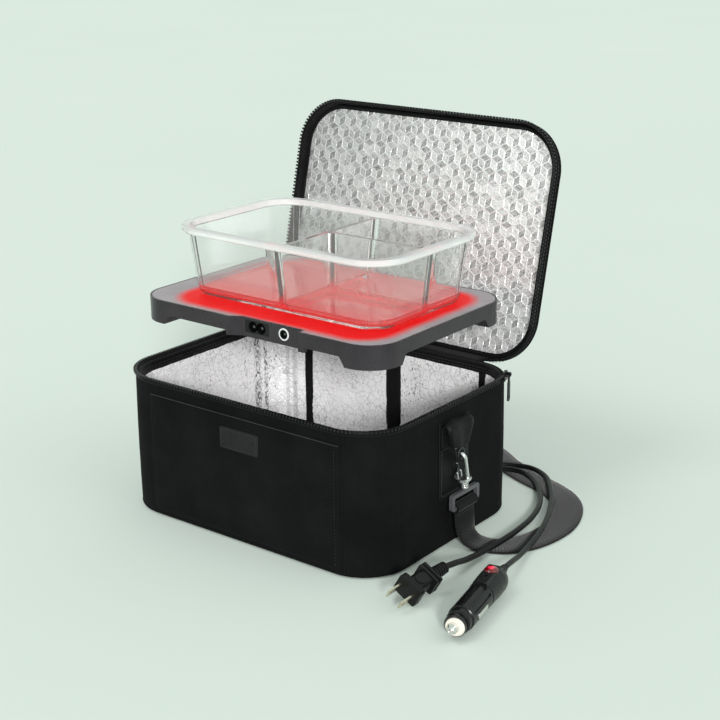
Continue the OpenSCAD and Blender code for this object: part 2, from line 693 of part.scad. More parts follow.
module heater_housing() color("#3f3f44") heater_frame() difference() {
    union() {
        difference() {
            linear_extrude(heater_h) outline(heater_l, heater_d, heater_r);
            foot_gap(heater_l, heater_d);
            rotate([0, 0, 90]) foot_gap(heater_d, heater_l);
        }
        translate([notch_left - 3, front_y, block_z])
            cube([notch_right - notch_left + 9, notch_depth + inlet_deep + 3, tray_z - block_z]);
    }
    translate([0, 0, -1]) linear_extrude(heater_h + 2) notch_plan(0);
    difference() {
        translate([0, 0, tray_z]) linear_extrude(heater_h)
            outline(heater_l - 2*heater_wall, heater_d - 2*heater_wall, heater_r - heater_wall);
        translate([0, 0, -1]) linear_extrude(plate_z + 1) notch_plan(heater_wall);
        translate([0, 0, -1]) linear_extrude(heater_h + 2) notch_plan(rim_w);
    }
    difference() {
        translate([0, 0, plate_z]) linear_extrude(heater_h)
            outline(heater_l - 2*rim_w, heater_d - 2*rim_w, heater_r - rim_w);
        linear_extrude(heater_h + 1) notch_plan(rim_w);
    }
    translate([notch_right, front_y + 4, block_z - 1])
        cube([7, notch_depth + inlet_deep, foot_drop - block_z + 1]);
    translate([ac_x, face_y, socket_z]) {
        cube([flange_l + 2*fit_gap, 2*flange_deep, inlet_h + 2*fit_gap], center = true);
        cube([inlet_l + 2*fit_gap, 2*inlet_deep + 1, inlet_h + 2*fit_gap], center = true);
    }
    dc_place() translate([0, 0, -1]) cylinder(r = jack_r + fit_gap, h = inlet_deep + 2);
    screw_places() {
        translate([0, 0, -1]) cylinder(r = screw_head_r + 0.2, h = 4.5);
        cylinder(r = screw_r + fit_gap, h = heater_h);
    }
}

module heater_top_plate() color("#8b8b90") heater_frame() difference() {
    union() {
        translate([0, 0, plate_z]) linear_extrude(plate_t) difference() {
            outline(heater_l - 2*rim_w - 0.4, heater_d - 2*rim_w - 0.4, heater_r - rim_w - 0.2);
            notch_plan(rim_w + 0.2);
        }
        screw_places() translate([0, 0, tray_z]) cylinder(r = boss_r, h = plate_z - tray_z);
    }
    screw_places() cylinder(r = screw_r + fit_gap, h = plate_z - 0.4);
}

module heating_element() color("#b5651d") heater_frame()
    translate([0, 0, plate_z - 1]) linear_extrude(1)
        outline(0.82*heater_l, 0.76*heater_d, 0.36*heater_r);

pad_t = 3.1;
module insulation_pad() color("#e6e2d4") heater_frame()
    translate([0, 6, tray_z]) linear_extrude(pad_t) outline(0.78*heater_l, 0.68*heater_d, 0.29*heater_r);

module thermostat() color("#8a8d92") heater_frame()
    translate([20, 10, tray_z + pad_t]) cylinder(r = 7, h = plate_z - 1 - tray_z - pad_t);

module socket_board() color("#2f6b3a") heater_frame()
    translate([-0.055*heater_l, face_y + inlet_deep + 0.6, tray_z]) cube([0.24*heater_l, 1.6, 6]);

// Two lobes joined into a figure eight, running in from the socket face
module ac_lobes(depth, r) {
    for (x = [-1, 1]) translate([x*ac_pitch/2, 0, 0]) rotate([-90, 0, 0]) cylinder(r = r, h = depth);
    translate([-ac_pitch/2, 0, -r/2]) cube([ac_pitch, depth, r]);
}

module ac_inlet() color("#2b2b2f") heater_frame() translate([ac_x, face_y, socket_z]) difference() {
    union() {
        translate([-flange_l/2, 0, -inlet_h/2]) cube([flange_l, flange_deep, inlet_h]);
        translate([-inlet_l/2, 0, -inlet_h/2]) cube([inlet_l, inlet_deep, inlet_h]);
    }
    translate([0, -1, 0]) ac_lobes(inlet_deep - 0.5, ac_lobe_r);
}

module ac_inlet_pins() color("#c8c9cc") heater_frame() for (x = [-1, 1])
    translate([ac_x + x*ac_pitch/2, face_y + 1.5, socket_z]) rotate([-90, 0, 0])
        cylinder(r = 1.2, h = inlet_deep - 3);

module dc_jack() color("#e4e4e4") heater_frame() dc_place() difference() {
    translate([0, 0, -0.6]) cylinder(r = jack_r, h = inlet_deep + 0.6);
    translate([0, 0, -1]) cylinder(r = jack_bore_r, h = inlet_deep - 0.5);
}

module dc_jack_pin() color("#c8c9cc") heater_frame() dc_place()
    translate([0, 0, 1]) cylinder(r = 1.05, h = inlet_deep - 2.5);

module housing_screws() color("#9a9ca0") heater_frame() screw_places() {
    translate([0, 0, 1.5]) cylinder(r = screw_head_r, h = 2);
    translate([0, 0, 3.5]) cylinder(r = screw_r, h = plate_z - 5.5);
}

// Glass container, with its origin under the middle of its foot
module glass_frame() translate([glass_off_x, glass_off_y, glass_z]) children();

// Ring of points round a box, from its edges e and the radii r of its four corners
corner_n = 7;
function round_ring(e, r, z) = [for (c = [0:3], k = [0:corner_n])
    let (a = 90*c + 90*k/corner_n,
        x = (c == 0 || c == 3) ? e[1] - r[c] : e[0] + r[c],
        y = c < 2 ? e[3] - r[c] : e[2] + r[c])
    [x + r[c]*cos(a), y + r[c]*sin(a), z]];

// A solid through rings, each given as [edges, corner radii, height]
module loft(rings) {
    n = 4*(corner_n + 1);
    pts = [for (g = rings) each round_ring(g[0], g[1], g[2])];
    polyhedron(points = pts, faces = ring_faces(len(rings), n));
}

function glass_ring(inset, z) = [[-glass_l/2 + inset, glass_l/2 - inset, -glass_d/2 + inset,
    glass_d/2 - inset], [for (c = [0:3]) glass_r - inset], z];
function lean(z) = flange_w + glass_taper*(1 - z/glass_h);
divider_z = glass_h - divider_drop;
divider_round = 7;

// A compartment. Sides marked 1 are the container's wall and lean with it, the rest are dividers.
function hollow_ring(e, m, z, round_in) =
    let (g = [for (k = m) k*(lean(z) + glass_t) + round_in],
        wall_r = glass_r - lean(z) - glass_t - round_in)
    [[e[0] + g[0], e[1] - g[1], e[2] + g[2], e[3] - g[3]],
        [for (c = [[1, 3], [0, 3], [0, 2], [1, 2]]) m[c[0]]*m[c[1]] == 1 ? wall_r : divider_round],
        z];
module hollow(e, m) loft([hollow_ring(e, m, glass_floor, 5),
    hollow_ring(e, m, glass_floor + 1.6, 1.6), hollow_ring(e, m, glass_floor + 5, 0),
    hollow_ring(e, m, divider_z + 1, 0)]);

module glass_container() color([0.85, 0.93, 0.92, 0.45]) glass_frame() {
    x = glass_l/2;
    y = glass_d/2;
    left = divider_x - divider_t/2;
    right = divider_x + divider_t/2;
    wall_in = lean(divider_z) + glass_t - 0.3;
    difference() {
        loft([glass_ring(lean(0) + 5, 0), glass_ring(lean(1.4) + 1.4, 1.4), glass_ring(lean(5), 5),
            glass_ring(lean(glass_h - flange_h - 1), glass_h - flange_h - 1),
            glass_ring(0.8, glass_h - flange_h), glass_ring(0, glass_h - flange_h + 1.2),
            glass_ring(0, glass_h - 1.2), glass_ring(1.4, glass_h)]);
        hollow([-x, left, -y, y], [1, 0, 1, 1]);
        hollow([right, x, -y, divider_y - divider_t/2], [0, 1, 1, 0]);
        hollow([right, x, divider_y + divider_t/2, y], [0, 1, 0, 1]);
        loft([glass_ring(wall_in, divider_z), glass_ring(wall_in - 0.8, glass_h + 1)]);
    }
}

// Power leads. A coil's layers, and the radii of its outer and inner turns
function turn_step(d) = d + turn_gap;
function coil_out(d, turns) = coil_ratio*d/2 + turn_step(d)*turns/2;
function coil_in(d, turns) = coil_ratio*d/2 - turn_step(d)*turns/2;
function coil_low(d) = tie_t + 0.3 + d/2;
function coil_high(d) = coil_low(d) + turn_step(d);
function ease(t) = t*t*(3 - 2*t);

// Middle of the coiled lead after s turns: in along the lower layer, up, and out along the upper
function coil_radius(s, d, turns) =
    s < turns ? coil_out(d, turns) - turn_step(d)*s :
    s < turns + 0.5 ? coil_in(d, turns) - turn_step(d)*(s - turns)*(1 - 2*(s - turns)) :
        coil_in(d, turns) + turn_step(d)*(s - turns - 0.5);
function coil_level(s, d, turns) =
    coil_low(d) + turn_step(d)*ease(min(max((s - turns)*2, 0), 1));
function coil_point(c, s, d, turns) =
    [c[0] + coil_radius(s, d, turns)*cos(-90 - 360*s),
        c[1] + coil_radius(s, d, turns)*sin(-90 - 360*s), coil_level(s, d, turns)];
function coil_line(c, d, turns) = concat([coil_start(c, d, turns)],
    [for (i = [0:ring_steps*(2*turns + 0.5)]) coil_point(c, i/ring_steps, d, turns)],
    [coil_finish(c, d, turns)]);
function coil_start(c, d, turns) = [c[0] + d, c[1] - coil_out(d, turns), coil_low(d)];
function coil_finish(c, d, turns) = [c[0] + d, c[1] + coil_out(d, turns), coil_high(d)];

// The least gap between parts of a coil that are over half a turn apart
function least_gap(c, d, turns) = let (p = coil_line(c, d, turns), n = ring_steps/2)
    min([for (i = [0:2:len(p) - n - 1], j = [i + n:1:len(p) - 1]) norm(p[i] - p[j])]) - d;
echo(ac_coil_gap = least_gap(ac_coil_c, ac_cord_d, ac_turns));
echo(car_coil_gap = least_gap(car_coil_c, car_cord_d, car_turns));

module coil(c, d, turns) tube(coil_line(c, d, turns), d, 6, [-1, 0, 0], [1, 0, 0]);

module coil_tie(c, d, turns) {
    low = coil_low(d) - d/2 - 0.3;
    high = coil_high(d) + d/2 + tie_gap;
    inner = coil_in(d, turns) - d/2 - tie_gap - 1;
    outer = coil_out(d, turns) + d/2 + tie_gap;
    translate([c[0], c[1], 0]) difference() {
        translate([-outer - tie_t, -tie_w/2, low - tie_t])
            cube([outer - inner + 2*tie_t, tie_w, high - low + 2*tie_t]);
        translate([-outer, -tie_w, low]) cube([outer - inner, 2*tie_w, high - low]);
    }
}

module coil_ties() color("#222226") {
    coil_tie(ac_coil_c, ac_cord_d, ac_turns);
    coil_tie(car_coil_c, car_cord_d, car_turns);
}

module ac_coil() color("#141416") coil(ac_coil_c, ac_cord_d, ac_turns);
module car_coil() color("#141416") coil(car_coil_c, car_cord_d, car_turns);

function lead_line(start, route, finish) = smooth(concat([start], route, [finish]), 3);
car_way = [cos(car_plug_yaw), sin(car_plug_yaw), 0];

module ac_cord() color("#141416")
    tube(lead_line(ac_plug_at, ac_route, coil_start(ac_coil_c, ac_cord_d, ac_turns)),
        ac_cord_d, 8, [0, 1, 0], [-1, 0, 0]);

module car_cord() color("#141416")
    tube(lead_line(car_plug_at, car_route, coil_start(car_coil_c, car_cord_d, car_turns)),
        car_cord_d, 8, -car_way, [-1, 0, 0]);

// Ribbed strain relief along +Z, from the cord up to a body
module relief(r0, r1, h, ribs) rotate_extrude() polygon(concat([[0, 0], [r0, 0]],
    [for (k = [0:ribs - 1], j = [0, 1])
        let (z = h*(k + 0.5*j + 0.25)/ribs, r = r0 + (r1 - r0)*z/h)
        [r - (j == 0 ? 0.5 : 0), z]],
    [[r1, h], [0, h]]));

// Mains plug with two flat blades. Its frame runs along +X from the cord to the blades.
module ac_plug_frame() translate(ac_plug_at) rotate([0, 0, -90]) rotate([ac_plug_roll, 0, 0])
    children();
plug_w = 22;
plug_h = 16;
plug_l = 50;
module ac_plug() color("#151517") ac_plug_frame() {
    rotate([0, 90, 0]) rotate_extrude() polygon(concat([[0, 0], [ac_cord_d/2 + 0.4, 0]],
        [for (k = [0:5], j = [0:3])
            [(j == 0 || j == 3 ? 3.9 : 4.9) + 0.16*k, 1.2 + 3.3*k + [0, 0.3, 1.9, 2.2][j]]],
        [[4.6, 21], [0, 21]]));
    for (x = [20, 24.6]) plug_block(x, 2.6, plug_w - 2, plug_h - 1, 1.5);
    plug_block(22, 3, plug_w - 6, plug_h - 5, 2);
    plug_block(27, plug_l - 32, plug_w - 7, plug_h - 3, 4);
    plug_block(plug_l - 7, 2, plug_w - 2, plug_h - 2, 2.5);
    plug_block(plug_l - 5.5, 5.5, plug_w, plug_h, 2.5);
    for (s = [-1, 1]) translate([35, 0, s*(plug_h - 3)/2]) scale([1, 0.72, 1])
        cylinder(r = 6.6, h = 1.4, center = true);
}

// A block of the mains plug's body between two cross sections
module plug_block(x, l, w, h, r) translate([x, 0, 0]) rotate([90, 0, 90]) linear_extrude(l)
    outline(w, h, r);

module ac_plug_blades() color("#d8d2c0") ac_plug_frame() for (y = [-1, 1])
    translate([plug_l, y*6.35 - 0.75, -3.2]) difference() {
        cube([17, 1.5, 6.4]);
        translate([13, -1, 3.2]) rotate([-90, 0, 0]) cylinder(r = 1.6, h = 4);
    }

// The end of the mains lead that goes into the heater's inlet
module ac_connector() color("#141416")
    translate(coil_finish(ac_coil_c, ac_cord_d, ac_turns)) {
        rotate([0, 90, 0]) relief(ac_cord_d/2 + 0.4, 4.2, 20, 6);
        translate([20, 0, 0]) rotate([90, 0, 90]) linear_extrude(14) outline(19, 10.6, 4);
        translate([34, 0, 0]) rotate([0, 0, -90]) difference() {
            translate([0, -1, 0]) ac_lobes(9.5, ac_lobe_r - 0.4);
            for (x = [-1, 1]) translate([x*ac_pitch/2, 0, 0]) rotate([-90, 0, 0])
                cylinder(r = 1.4, h = 12);
        }
    }

// Car plug along +X from the cord to the tip
module car_frame() translate(car_plug_at) rotate([0, 0, car_plug_yaw]) children();
handle_r = car_r + 1;
handle_x = 16;
barrel_x = 52;
ring_x = barrel_x + car_l;
nose_bore = 4.1;
tip_in = 14;
lens_x = 30;
lens_r = 5.6;
pad_z = handle_r + 0.5;
contact_x = ring_x - 34;
flute_at = [-62, -31, 0, 31, 62, 118, 149, 180, 211, 242];
module car_plug() color("#151517") car_frame() rotate([0, 90, 0]) difference() {
    union() {
        relief(car_cord_d/2 + 0.5, 6, handle_x, 4);
        translate([0, 0, handle_x - 0.5]) rotate_extrude() polygon([[0, 0], [6.2, 0], [9, 1.8],
            [10.6, 5], [handle_r, 10], [handle_r, 20], [car_r + 0.3, barrel_x - handle_x],
            [0, barrel_x - handle_x]]);
        intersection() {
            translate([-pad_z, -5.6, lens_x - 8]) cube([pad_z, 11.2, barrel_x - lens_x + 9.5]);
            translate([0, 0, handle_x]) cylinder(r = handle_r + 1.2, h = 50);
        }
        translate([0, 0, barrel_x - 0.5]) rotate_extrude() polygon([[0, 0], [car_r, 0],
            [car_r, car_l - 7], [car_r - 0.9, car_l - 6.4], [car_r - 0.9, car_l - 1], [car_r - 2, car_l + 0.5],
            [0, car_l + 0.5]]);
    }
    for (a = flute_at) rotate([0, 0, a]) translate([-car_r - 1, -1, barrel_x + 2.5])
        cube([2.1, 2, car_l - 13]);
    translate([-pad_z - 1, 0, lens_x]) rotate([0, 90, 0]) cylinder(r = lens_r + fit_gap, h = 3.5);
    translate([-pad_z - 1, 0, lens_x + 11]) rotate([0, 90, 0]) cylinder(r = 1.5, h = 3);
    translate([0, 0, ring_x - tip_in - tip_travel - 1]) cylinder(r = nose_bore, h = car_l);
    for (y = [-1, 1]) translate([-2.2, y*(car_r - 0.6) - 1.6, contact_x]) cube([4.4, 3.2, 20]);
}

module car_plug_lens() color("#d01818") car_frame() translate([lens_x, 0, pad_z - 2.4])
    rotate_extrude() polygon([[0, 0], [lens_r, 0], [lens_r, 2.4], [0.86*lens_r, 3.3],
        [0.55*lens_r, 4], [0, 4.3]]);

module car_plug_ring() color("#d8c890") car_frame() translate([ring_x, 0, 0]) rotate([0, 90, 0])
    difference() {
        rotate_extrude() polygon([[0, 0], [7.4, 0], [7.4, 2], [8.6, 2.8], [8.6, 5], [6.2, 7.6], [0, 7.6]]);
        translate([0, 0, -1]) cylinder(r = nose_bore, h = 10);
    }

module car_plug_tip() color("#cfd0d2") car_frame() translate([ring_x - tip_in, 0, 0])
    rotate([0, 90, 0]) rotate_extrude() polygon([[0, 0], [nose_bore - fit_gap, 0],
        [nose_bore - fit_gap, tip_in + 10], [2.6, tip_in + 12.8], [1.7, tip_in + 13.4],
        [1.7, tip_in + 16], [0.9, tip_in + 17], [0, tip_in + 17]]);

module car_plug_contacts() color("#c9cacd") car_frame() for (y = [-1, 1])
    translate([contact_x + 10, y*(car_r - 0.6), 0]) rotate([-90, 0, 0])
        linear_extrude(2.6, center = true) outline(19, 3.8, 1.6);

// The end of the car lead that goes into the heater's low-voltage jack
barrel_plug_r = 2.75;
module dc_connector() color("#141416")
    translate(coil_finish(car_coil_c, car_cord_d, car_turns)) rotate([0, 90, 0]) {
        relief(car_cord_d/2 + 0.3, 4, 12, 5);
        translate([0, 0, 12]) cylinder(r = 4.8, h = 20);
        difference() {
            translate([0, 0, 32]) cylinder(r = barrel_plug_r, h = 9.5);
            translate([0, 0, 33]) cylinder(r = 1.15, h = 10);
        }
    }

outer_shell();
bottom_board();
foam_core();
foil_lining();
rim_facing();
body_zipper_tape();
body_zipper_teeth();
front_panel();
label_patch();
inner_straps();
hinge_seam();
tab_base(1);  // tab_base_right
tab_base(-1);  // tab_base_left
tab_flap(1);  // tab_flap_right
tab_flap(-1);  // tab_flap_left
tab_eyelets();
strap_ring(1);  // strap_ring_right
strap_ring(-1);  // strap_ring_left
shoulder_strap();
strap_adjuster();
snap_hook(1);  // snap_hook_right
snap_hook(-1);  // snap_hook_left
hook_gate(1);  // hook_gate_right
hook_gate(-1);  // hook_gate_left
zip_slider(1);  // zip_slider_right
zip_slider(-1);  // zip_slider_left
zip_pull(1);  // zip_pull_right
zip_pull(-1);  // zip_pull_left
lid_cover();
lid_foam();
lid_lining();
lid_facing();
lid_zipper_tape();
lid_zipper_teeth();
heater_housing();
heater_top_plate();
heating_element();
insulation_pad();
thermostat();
socket_board();
ac_inlet();
ac_inlet_pins();
dc_jack();
dc_jack_pin();
housing_screws();
glass_container();
ac_plug();
ac_plug_blades();
ac_cord();
ac_coil();
ac_connector();
car_plug();
car_plug_lens();
car_plug_ring();
car_plug_tip();
car_plug_contacts();
car_cord();
car_coil();
dc_connector();
coil_ties();
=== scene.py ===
"""Looks of the electric lunch box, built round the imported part. Lengths are millimetres until a
mesh is made, and then metres."""
import math

import bmesh
import bpy
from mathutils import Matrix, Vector, noise


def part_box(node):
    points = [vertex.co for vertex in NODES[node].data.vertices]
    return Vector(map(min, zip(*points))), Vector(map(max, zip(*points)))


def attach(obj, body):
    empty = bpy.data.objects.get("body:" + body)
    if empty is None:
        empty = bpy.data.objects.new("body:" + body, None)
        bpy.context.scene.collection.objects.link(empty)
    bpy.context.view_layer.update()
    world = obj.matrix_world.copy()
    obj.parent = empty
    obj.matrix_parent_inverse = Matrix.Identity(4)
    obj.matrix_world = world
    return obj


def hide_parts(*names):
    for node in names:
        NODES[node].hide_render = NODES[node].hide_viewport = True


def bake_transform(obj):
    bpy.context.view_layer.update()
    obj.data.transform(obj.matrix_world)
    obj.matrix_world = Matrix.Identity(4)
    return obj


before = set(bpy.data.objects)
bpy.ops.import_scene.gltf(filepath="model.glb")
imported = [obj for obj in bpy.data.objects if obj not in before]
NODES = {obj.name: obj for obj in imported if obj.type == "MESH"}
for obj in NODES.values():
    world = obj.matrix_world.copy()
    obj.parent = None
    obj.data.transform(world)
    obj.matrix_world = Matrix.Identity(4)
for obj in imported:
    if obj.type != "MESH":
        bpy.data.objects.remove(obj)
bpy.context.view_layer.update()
MM = 0.001


def placed(name, data):
    """A new object of the scene."""
    made = bpy.data.objects.new(name, data)
    bpy.context.scene.collection.objects.link(made)
    return made


# Camera

view_azimuth, view_elevation, view_distance = 36.339, 17.444, 1.2929
view_target = Vector((0.0415, 0.0696, 0.1442))
photo_px, middle_x_px, middle_y_px, focal_widths, sensor_w = 720, 406.5, 334.5, 2.0603, 36


def place_camera():
    """The photograph's view, as fitted to the bag, in degrees, metres and pixels."""
    azimuth, elevation = math.radians(view_azimuth), math.radians(view_elevation)
    back = Vector((math.sin(azimuth) * math.cos(elevation),
                   -math.cos(azimuth) * math.cos(elevation), math.sin(elevation)))
    data = bpy.data.cameras.new("view")
    data.sensor_width = sensor_w
    data.lens = sensor_w * focal_widths
    data.shift_x = 0.5 - middle_x_px / photo_px
    data.shift_y = middle_y_px / photo_px - 0.5
    data.clip_start, data.clip_end = 0.05, 60
    camera = placed("view", data)
    camera.rotation_mode = "QUATERNION"
    camera.location = view_target + back * view_distance
    camera.rotation_quaternion = (-back).to_track_quat("-Z", "Y")
    bpy.context.scene.camera = camera


place_camera()


# Materials

class Finish:
    """A material with a few helpers for its nodes. Coordinates are the object's own, in metres."""

    def __init__(self, name, color, rough, metal=0.0, **sockets):
        self.mat = bpy.data.materials.new(name)
        self.mat.use_nodes = True
        self.tree = self.mat.node_tree
        self.bsdf = self.tree.nodes["Principled BSDF"]
        self.set("Base Color", (*color, 1))
        self.set("Roughness", rough)
        self.set("Metallic", metal)
        for key, value in sockets.items():
            self.set(key.replace("_", " ").title().replace("Ior", "IOR"), value)
        self.coord = self.node("ShaderNodeTexCoord").outputs["Object"]
        self.height = None

    def node(self, kind, **settings):
        made = self.tree.nodes.new(kind)
        for key, value in settings.items():
            setattr(made, key, value)
        return made

    def link(self, a, b):
        self.tree.links.new(a, b)

    def feed(self, node, names, *values):
        """Links the values that are outputs to a node's inputs, and writes the constants."""
        for name, value in zip(names, values):
            if isinstance(value, bpy.types.NodeSocket):
                self.link(value, node.inputs[name])
            else:
                node.inputs[name].default_value = value

    def set(self, name, value):
        self.feed(self.bsdf, [name], value)

    def math(self, operation, a, b=0.0, c=0.5):
        made = self.node("ShaderNodeMath", operation=operation)
        self.feed(made, range(3), a, b, c)
        return made.outputs[0]

    def vector(self, operation, *values):
        made = self.node("ShaderNodeVectorMath", operation=operation)
        self.feed(made, range(len(values)), *values)
        return made.outputs["Value" if operation in ("DISTANCE", "LENGTH") else "Vector"]

    def axis(self, index, vector=None):
        made = self.node("ShaderNodeSeparateXYZ")
        self.link(vector or self.coord, made.inputs[0])
        return made.outputs[index]

    def mix(self, factor, a, b, blend="MIX"):
        """Two colours mixed. The node has its colours in the inputs 6 and 7."""
        made = self.node("ShaderNodeMix", data_type="RGBA", blend_type=blend)
        self.feed(made, (0, 6, 7), factor, a, b)
        return made.outputs[2]

    def stretched(self, stretch):
        if stretch is None:
            return self.coord
        made = self.node("ShaderNodeMapping")
        self.feed(made, ("Vector", "Scale"), self.coord, stretch)
        return made.outputs[0]

    def noise(self, size, detail=4.0, rough=0.55, stretch=None):
        """Noise whose features are about size millimetres across."""
        made = self.node("ShaderNodeTexNoise")
        self.feed(made, ("Vector", "Scale", "Detail", "Roughness"),
                  self.stretched(stretch), 1 / (size * MM), detail, rough)
        return made.outputs["Fac"]

    def cells(self, size, feature="DISTANCE_TO_EDGE", stretch=None, warp=0.0):
        """Distances in cells about size millimetres across, their walls warped by noise."""
        vector = self.stretched(stretch)
        if warp:
            bend = self.node("ShaderNodeTexNoise")
            self.feed(bend, ("Vector", "Scale"), vector, 0.7 / (size * MM))
            vector = self.vector("MULTIPLY_ADD", bend.outputs["Color"], (warp * MM,) * 3, vector)
        made = self.node("ShaderNodeTexVoronoi", feature=feature)
        self.feed(made, ("Vector", "Scale"), vector, 1 / (size * MM))
        return made.outputs["Distance"]

    def waves(self, pitch, axis, uv=False):
        """Rounded ridges across one axis, pitch millimetres apart, from 0 to 1."""
        run = self.node("ShaderNodeUVMap", uv_map="run").outputs[0] if uv else None
        turned = self.math("MULTIPLY", self.axis(axis, run), 2 * math.pi / (pitch * MM))
        return self.math("MULTIPLY_ADD", self.math("SINE", turned), 0.5, 0.5)

    def ramp(self, value, low, high, a, b):
        """Maps a value from low..high to the two given numbers or colours."""
        if isinstance(a, (int, float)):
            made = self.node("ShaderNodeMapRange", clamp=True)
            self.feed(made, ("Value", "From Min", "From Max", "To Min", "To Max"), value, low, high, a, b)
            return made.outputs["Result"]
        made = self.node("ShaderNodeValToRGB")
        for element, position, color in zip(made.color_ramp.elements, (low, high), (a, b)):
            element.position, element.color = position, (*color, 1)
        self.link(value, made.inputs["Fac"])
        return made.outputs["Color"]

    def bump(self, value, depth, strength=1.0):
        """Adds relief of about depth millimetres."""
        made = self.node("ShaderNodeBump")
        self.feed(made, ("Height", "Strength", "Distance"), value, strength, depth * MM)
        if self.height is not None:
            self.link(self.height, made.inputs["Normal"])
        self.height = made.outputs["Normal"]
        self.set("Normal", self.height)

    def color(self, output):
        self.set("Base Color", output)

    def rough(self, output):
        self.set("Roughness", output)


def cloth(name, dark, light, pitch=0.9, rough=0.9, sheen=0.006):
    """Plain woven fabric: warp and weft ridges with slubs, and a slow change of tone."""
    f = Finish(name, light, rough, sheen_weight=sheen, sheen_roughness=0.45, specular_ior_level=0.07)
    weave = f.math("ADD", f.math("ADD", f.waves(pitch, 0), f.waves(pitch, 1)), f.waves(pitch, 2))
    slubs = f.noise(2.5, 3, 0.6)
    tone = f.math("MULTIPLY_ADD", weave, 0.12, f.math("MULTIPLY", f.noise(38, 3), 0.75))
    f.color(f.ramp(tone, 0.35, 0.85, dark, light))
    f.bump(weave, 0.10, 0.5)
    f.bump(slubs, 0.12, 0.5)
    f.bump(f.noise(16, 3), 0.5, 0.35)
    f.rough(f.ramp(slubs, 0.3, 0.7, rough - 0.08, min(rough + 0.08, 1)))
    return f.mat


def webbing(name, dark, light, pitch=1.5, sheen=0.06, rough=0.8, gloss=0.14, hanging=None):
    """Ribbed webbing with its ribs along the run. Where hanging is given, it is the sheen of what
    is off the floor."""
    f = Finish(name, light, rough, sheen_weight=sheen, sheen_roughness=0.3, specular_ior_level=gloss)
    if hanging is not None:
        f.set("Sheen Weight", f.ramp(f.axis(2), 2 * MM, 22 * MM, sheen, hanging))
    along = f.math("MULTIPLY_ADD", f.waves(pitch * 1.4, 1, True), 0.6, 0.4)
    weave = f.math("MULTIPLY", f.waves(pitch, 0, True), along)
    tone = f.math("ADD", f.math("MULTIPLY", weave, 0.5), f.math("MULTIPLY", f.noise(20), 0.5))
    f.color(f.ramp(tone, 0.25, 0.8, dark, light))
    f.bump(weave, 0.22, 0.7)
    f.bump(f.noise(1.1, 2), 0.08, 0.5)
    return f.mat


def lining_film():
    """Bright crinkled film: painted shade along faint creases, dark flecks, and painted shade of upright
    folds in the left back corner.
    """
    f = Finish("foil_lining", (0.95, 0.95, 0.95), 0.3, 0.12, specular_ior_level=0.8)
    creases, facets = f.cells(6.5, warp=5.8), f.cells(6.5, "F1", warp=5.8)
    smooth_parts = f.ramp(f.noise(36, 3), 0.42, 0.56, 1.0, 0.0)
    # Painted shade along the creases, left out where the film lies smooth
    painted_crease_shade = f.math("MAXIMUM", f.ramp(creases, 0.0, 0.06, 0.55, 1.0), smooth_parts)
    shade = f.math("MULTIPLY", f.ramp(f.noise(9, 5, 0.7), 0.3, 0.6, 0.86, 1.0), painted_crease_shade)
    fleck = f.ramp(f.noise(1.5, 3, 0.7, (1, 1, 0.6)), 0.36, 0.44, 1.0, 0.0)
    where = f.ramp(f.noise(27, 3, 0.5, (1, 1.2, 0.8)), 0.55, 0.62, 0.0, 0.9)
    shade = f.math("MULTIPLY", shade, f.math("SUBTRACT", 1.0, f.math("MULTIPLY", fleck, where)))
    # The angle round the corner's axis, from the left wall
    forward = f.math("SUBTRACT", f.axis(1), (bag_d / 2 - bag_r) * MM)
    left = f.math("SUBTRACT", -(bag_l / 2 - bag_r) * MM, f.axis(0))
    turn = f.math("ARCTAN2", forward, left)
    spots = f.ramp(f.noise(1.3, 3, 0.7, (1, 1, 0.45)), 0.44, 0.54, 1.0, 0.0)
    # Painted shade in bands along the upright folds, some of it spotted
    for middle, half, depth, spotted in corner_fold_shades:
        away = f.math("ABSOLUTE", f.math("SUBTRACT", turn, math.radians(middle)))
        fold = f.ramp(away, math.radians(half * 0.5), math.radians(half), depth, 0.0)
        if spotted:
            fold = f.math("MULTIPLY", fold, spots)
        shade = f.math("MULTIPLY", shade, f.math("SUBTRACT", 1.0, fold))
    f.color(f.ramp(shade, 0.0, 0.95, (0.02, 0.02, 0.02), (1.0, 0.985, 0.992)))
    f.rough(f.ramp(f.noise(3.0, 4, 0.7), 0.3, 0.7, 0.16, 0.42))
    f.bump(f.ramp(creases, 0.0, 0.22, 0.0, 1.0), 0.5, 0.6)
    f.bump(facets, 0.9, 0.5)
    f.bump(f.ramp(f.cells(2.2, warp=2.6), 0.0, 0.2, 0.0, 1.0), 0.18, 0.5)
    f.bump(f.noise(1.4, 4, 0.7), 0.2, 0.4)
    return f.mat


# Painted shade of the upright folds in the lining's left back corner: angle, half width, depth of the
# painted shade, and spots or none
corner_fold_shades = ((8, 8, 0.93, True), (23, 4, 0.85, True), (58, 4, 0.26, False), (69, 5, 0.30, False))


def plastic(name, dark, light, rough, grain=0.5, depth=0.03, **sockets):
    """Moulded plastic: fine spark texture, and scuffs that change its gloss."""
    f = Finish(name, light, rough, **sockets)
    f.color(f.ramp(f.noise(30, 5, 0.6), 0.35, 0.7, dark, light))
    f.rough(f.ramp(f.noise(7, 5, 0.7), 0.3, 0.75, rough * 0.82, min(rough * 1.2, 1)))
    f.bump(f.noise(grain, 3, 0.6), depth, 0.5)
    f.bump(f.noise(60, 2), 0.15, 0.1)
    return f.mat


def metal(name, dark, light, rough, brushed=None):
    """Metal with fine brushing or a cast grain, and faint smudges in its gloss."""
    f = Finish(name, light, rough, 1.0)
    f.color(f.ramp(f.noise(18, 4), 0.3, 0.75, dark, light))
    f.rough(f.ramp(f.noise(5, 5, 0.7), 0.3, 0.75, rough * 0.75, min(rough * 1.3, 1)))
    f.bump(f.noise(0.6, 3, 0.6, brushed), 0.02, 0.4)
    return f.mat


